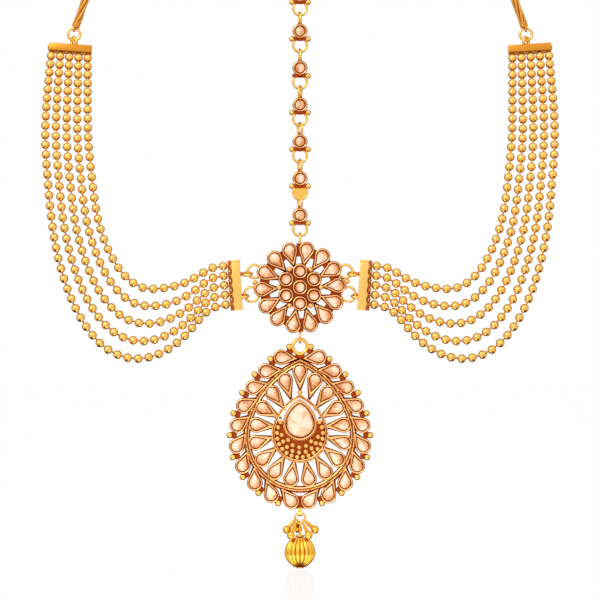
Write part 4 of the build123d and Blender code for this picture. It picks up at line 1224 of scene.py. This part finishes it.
CORD_RING = {"radius": 1.75, "wire": 0.32, "shown_wire": 0.37, "at": (-65.13, 22.85, -27.44)}
CORD_ROUTE = (
    # the left cord, from its binding up to the side hook
    (-64.20, 22.85, -23.90),
    (-60.67, 22.85, -14.10),
    (-57.37, 22.95, -4.10),
    (-54.77, 23.25, 5.90),
)
CORE_RADIUS = 0.88
BINDING = {
    "length": 1.50, "turns": 4, "radius": 1.15, "thread": 0.24, "overlap": 0.02, "core": 0.90,
    "loop": 0.78, "loop_thread": 0.36,
}
THREADS, THREAD_RADIUS, THREAD_REACH, THREAD_LAY = 5, 0.42, 0.78, 26.0
THREAD_WANDER, THREAD_STEPS = 0.10, 60


def cord_rings():
    ring = hoop(CORD_RING["radius"], CORD_RING["shown_wire"], normal=(0, 1, 0), middle=CORD_RING["at"])
    both_sides("end_ring", Work().add(ring), (YELLOW_GOLD,), "cord_ring")


def route_curve(name, route, bevel):
    """The cord's smooth line: a spline with the route's points as its control points."""
    curve = bpy.data.curves.new(name, "CURVE")
    curve.dimensions = "3D"
    line = curve.splines.new("NURBS")
    line.points.add(len(route) - 1)
    for point, place in zip(line.points, route):
        point.co = [c * MM for c in place] + [1.0]
    line.order_u = 3
    line.use_endpoint_u = True
    line.resolution_u = 16
    curve.bevel_depth, curve.bevel_resolution = bevel * MM, 5
    curve.use_fill_caps = True
    made = bpy.data.objects.new(name, curve)
    bpy.context.scene.collection.objects.link(made)
    return made


def points_of(route):
    """Points on the route's spline, in millimetres."""
    line = route_curve("cord_line", route, 0.0)
    bpy.context.view_layer.update()
    mesh = bpy.data.meshes.new_from_object(line)
    points = [v.co / MM for v in mesh.vertices]
    bpy.data.meshes.remove(mesh)
    bpy.data.objects.remove(line)
    return points


def wound_threads(points):
    """Threads that run up the cord side by side, with a slight twist."""
    work = Work()
    distances = [path_length(points) * i / THREAD_STEPS for i in range(THREAD_STEPS + 1)]
    line = [at for at, _ in along(points, distances)]
    frames = frames_along(line, False)
    pitch = path_length(line) / THREAD_STEPS
    for k in range(THREADS):
        start = math.tau * k / THREADS
        winding = []
        for i, (at, (_, a, b)) in enumerate(zip(line, frames)):
            angle = start + math.tau * pitch * i / THREAD_LAY
            reach = THREAD_REACH + THREAD_WANDER * math.sin(0.35 * i + 2.1 * k)
            winding.append(at + a * (reach * math.cos(angle)) + b * (reach * math.sin(angle)))
        work.add(wire(winding, THREAD_RADIUS))
    return work


def binding(route):
    """The wrap that binds the cord's end, and the thread loop round the ring."""
    foot = Vector(route[0])
    run = (Vector(route[1]) - foot).normalized()
    work = Work()
    turns, thread = BINDING["turns"], BINDING["thread"]
    for i in range(turns):
        at = foot - run * (BINDING["length"] * (i + 0.5) / turns)
        size = BINDING["radius"] - thread, thread + BINDING["overlap"]
        work.add(hoop(*size, count=28, sides=8, normal=run, middle=at))
    work.add(wire([foot - run * BINDING["length"], foot], BINDING["core"], sides=16), 1)
    x, y, z = CORD_RING["at"]
    side = math.copysign(1, foot.x)
    top = (abs(x) * side, y, z + CORD_RING["radius"])
    work.add(hoop(BINDING["loop"], BINDING["loop_thread"], normal=(1, 0, 0), middle=top))
    return work


def cords():
    for side, sign in (("left", 1), ("right", -1)):
        route = [(sign * x, y, z) for x, y, z in CORD_ROUTE]
        core = route_curve(f"cord_core_{side}", route, CORE_RADIUS)
        core.data.materials.append(CORE)
        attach(core, HEAD)
        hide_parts(f"side_cord_{side}")
        threads = wound_threads(points_of(route))
        strands = piece(f"cord_threads_{side}", threads, HEAD, (THREAD,), sharp=60)
        names = [f"cord_binding_{side}"]
        wrap = piece(f"cord_wrap_{side}", binding(route), HEAD, (THREAD, CORE), names)


# Stage -----------------------------------------------------------------

TABLE_Z, TABLE_HALF = -180.6, 4000
TABLE_SHINE = 0.10
TENT_STRENGTH = 1.27
TENT_BY_HEIGHT = (
    # from straight down to straight up, light: bright overhead, and in a band well below eye level
    (0.0, 0.12),
    (0.14, 0.15),
    (0.23, 0.80),
    (0.33, 0.95),
    (0.42, 0.72),
    (0.55, 0.78),
    (0.75, 0.92),
    (1.0, 1.0),
)
TENT_BY_DEPTH = (
    # from the front to the back, light
    (0.0, 1.0),
    (0.52, 0.92),
    (0.75, 0.50),
    (1.0, 0.42),
)
TENT_WARMTH = (1.45, 2.1)  # powers of the green and the blue light
BACKDROP_FROM = 0.97     # rays that run back more nearly straight than this meet the backdrop
SOFTBOXES = (
    # name, place, the point that it faces, side, power in watts
    ("front_left_softbox", (-450, -600, 350), (0, 0, -104), 450, 2.2),
    ("light_from_the_table", (0, -50, -235), (0, 0, -176), 90, 0.06),
)
CAMERA = {"place": (0, -2000, -104), "lens": 421.0, "sensor": 36.0}


def table_material():
    """A lit white table with a slight shine, for the camera alone: all other rays pass through it."""
    material = bpy.data.materials.new("lit_white_table")
    material.use_nodes = True
    tree = material.node_tree
    tree.nodes.clear()
    glow = node(tree, "ShaderNodeEmission", {"Color": WHITE, "Strength": 1.0})
    shine = node(tree, "ShaderNodeBsdfGlossy", {"Color": WHITE, "Roughness": 0.05})
    lit = node(tree, "ShaderNodeMixShader", {0: TABLE_SHINE}, {1: glow.outputs[0], 2: shine.outputs[0]})
    seen = node(tree, "ShaderNodeLightPath").outputs["Is Camera Ray"]
    plain = node(tree, "ShaderNodeBsdfTransparent")
    both = node(tree, "ShaderNodeMixShader", links={0: seen, 1: plain.outputs[0], 2: lit.outputs[0]})
    node(tree, "ShaderNodeOutputMaterial", links={"Surface": both.outputs[0]})
    return material


def studio():
    """A white tent in front and overhead, darker behind and below, and a white backdrop."""
    world = bpy.data.worlds.new("white_studio")
    bpy.context.scene.world = world
    world.use_nodes = True
    tree = world.node_tree
    tree.nodes.clear()
    where = node(tree, "ShaderNodeTexCoord").outputs["Generated"]
    split = node(tree, "ShaderNodeSeparateXYZ", links={0: where})
    lights = []
    for axis, stops in (("Z", TENT_BY_HEIGHT), ("Y", TENT_BY_DEPTH)):
        limits = {"From Min": -1.0, "From Max": 1.0}
        share = node(tree, "ShaderNodeMapRange", limits, {"Value": split.outputs[axis]})
        ramp = node(tree, "ShaderNodeValToRGB", links={"Fac": share.outputs["Result"]})
        fill_ramp(ramp, [(position, (light, light, light, 1.0)) for position, light in stops])
        lights.append(ramp.outputs["Color"])
    red = node(tree, "ShaderNodeMath", {"operation": "MULTIPLY"}, dict(enumerate(lights))).outputs[0]
    # Where the tent is dark it is lit by the gold itself, so it darkens to a warm brown
    colours = [red]
    for power in TENT_WARMTH:
        colours.append(node(tree, "ShaderNodeMath", {"operation": "POWER", 1: power}, {0: red}).outputs[0])
    warm = node(tree, "ShaderNodeCombineColor", links=dict(enumerate(colours)))
    tent = node(tree, "ShaderNodeBackground", {"Strength": TENT_STRENGTH}, {"Color": warm.outputs[0]})
    backdrop = node(tree, "ShaderNodeBackground", {"Color": WHITE})
    # The table's shine also meets the white backdrop
    settings = {"operation": "GREATER_THAN", 1: BACKDROP_FROM}
    behind = node(tree, "ShaderNodeMath", settings, {0: split.outputs["Y"]})
    seen = node(tree, "ShaderNodeLightPath").outputs["Is Camera Ray"]
    either = node(tree, "ShaderNodeMath", {"operation": "MAXIMUM"}, {0: behind.outputs[0], 1: seen})
    links = {0: either.outputs[0], 1: tent.outputs[0], 2: backdrop.outputs[0]}
    both = node(tree, "ShaderNodeMixShader", links=links)
    node(tree, "ShaderNodeOutputWorld", links={"Surface": both.outputs[0]})


def softbox(name, place, target, side, power):
    light = bpy.data.lights.new(name, "AREA")
    light.shape, light.size, light.energy = "SQUARE", side * MM, power
    made = bpy.data.objects.new(name, light)
    made.location = Vector(place) * MM
    made.rotation_euler = (Vector(target) - Vector(place)).to_track_quat("-Z", "Y").to_euler()
    bpy.context.scene.collection.objects.link(made)


def stage():
    mesh = bpy.data.meshes.new("table_top")
    corners = [p * MM for p in at_height(rectangle(2 * TABLE_HALF, 2 * TABLE_HALF), TABLE_Z)]
    mesh.from_pydata(corners, [], [(0, 1, 2, 3)])
    mesh.materials.append(table_material())
    table = bpy.data.objects.new("table_top", mesh)
    bpy.context.scene.collection.objects.link(table)
    studio()
    for row in SOFTBOXES:
        softbox(*row)
    camera = bpy.data.cameras.new("camera")
    camera.lens, camera.sensor_width = CAMERA["lens"], CAMERA["sensor"]
    camera.clip_start, camera.clip_end = 0.1, 20.0
    seen = bpy.data.objects.new("camera", camera)
    seen.location = Vector(CAMERA["place"]) * MM
    seen.rotation_euler = (math.pi / 2, 0, 0)
    bpy.context.scene.collection.objects.link(seen)
    bpy.context.scene.camera = seen
    settings = bpy.context.scene.view_settings
    settings.view_transform, settings.look = "Standard", "None"


# Everything together ---------------------------------------------------

def dress_solids():
    """The hooks and the bead's pin are shown as they are."""
    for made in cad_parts.values():
        made.data.materials.clear()
        made.data.materials.append(YELLOW_GOLD)


def main():
    dress_solids()
    stage()
    cords()
    centre_chain()
    rosette()
    pendant()
    drop()
    side_strands()
    inner_bars()
    outer_bars()
    cord_rings()


main()
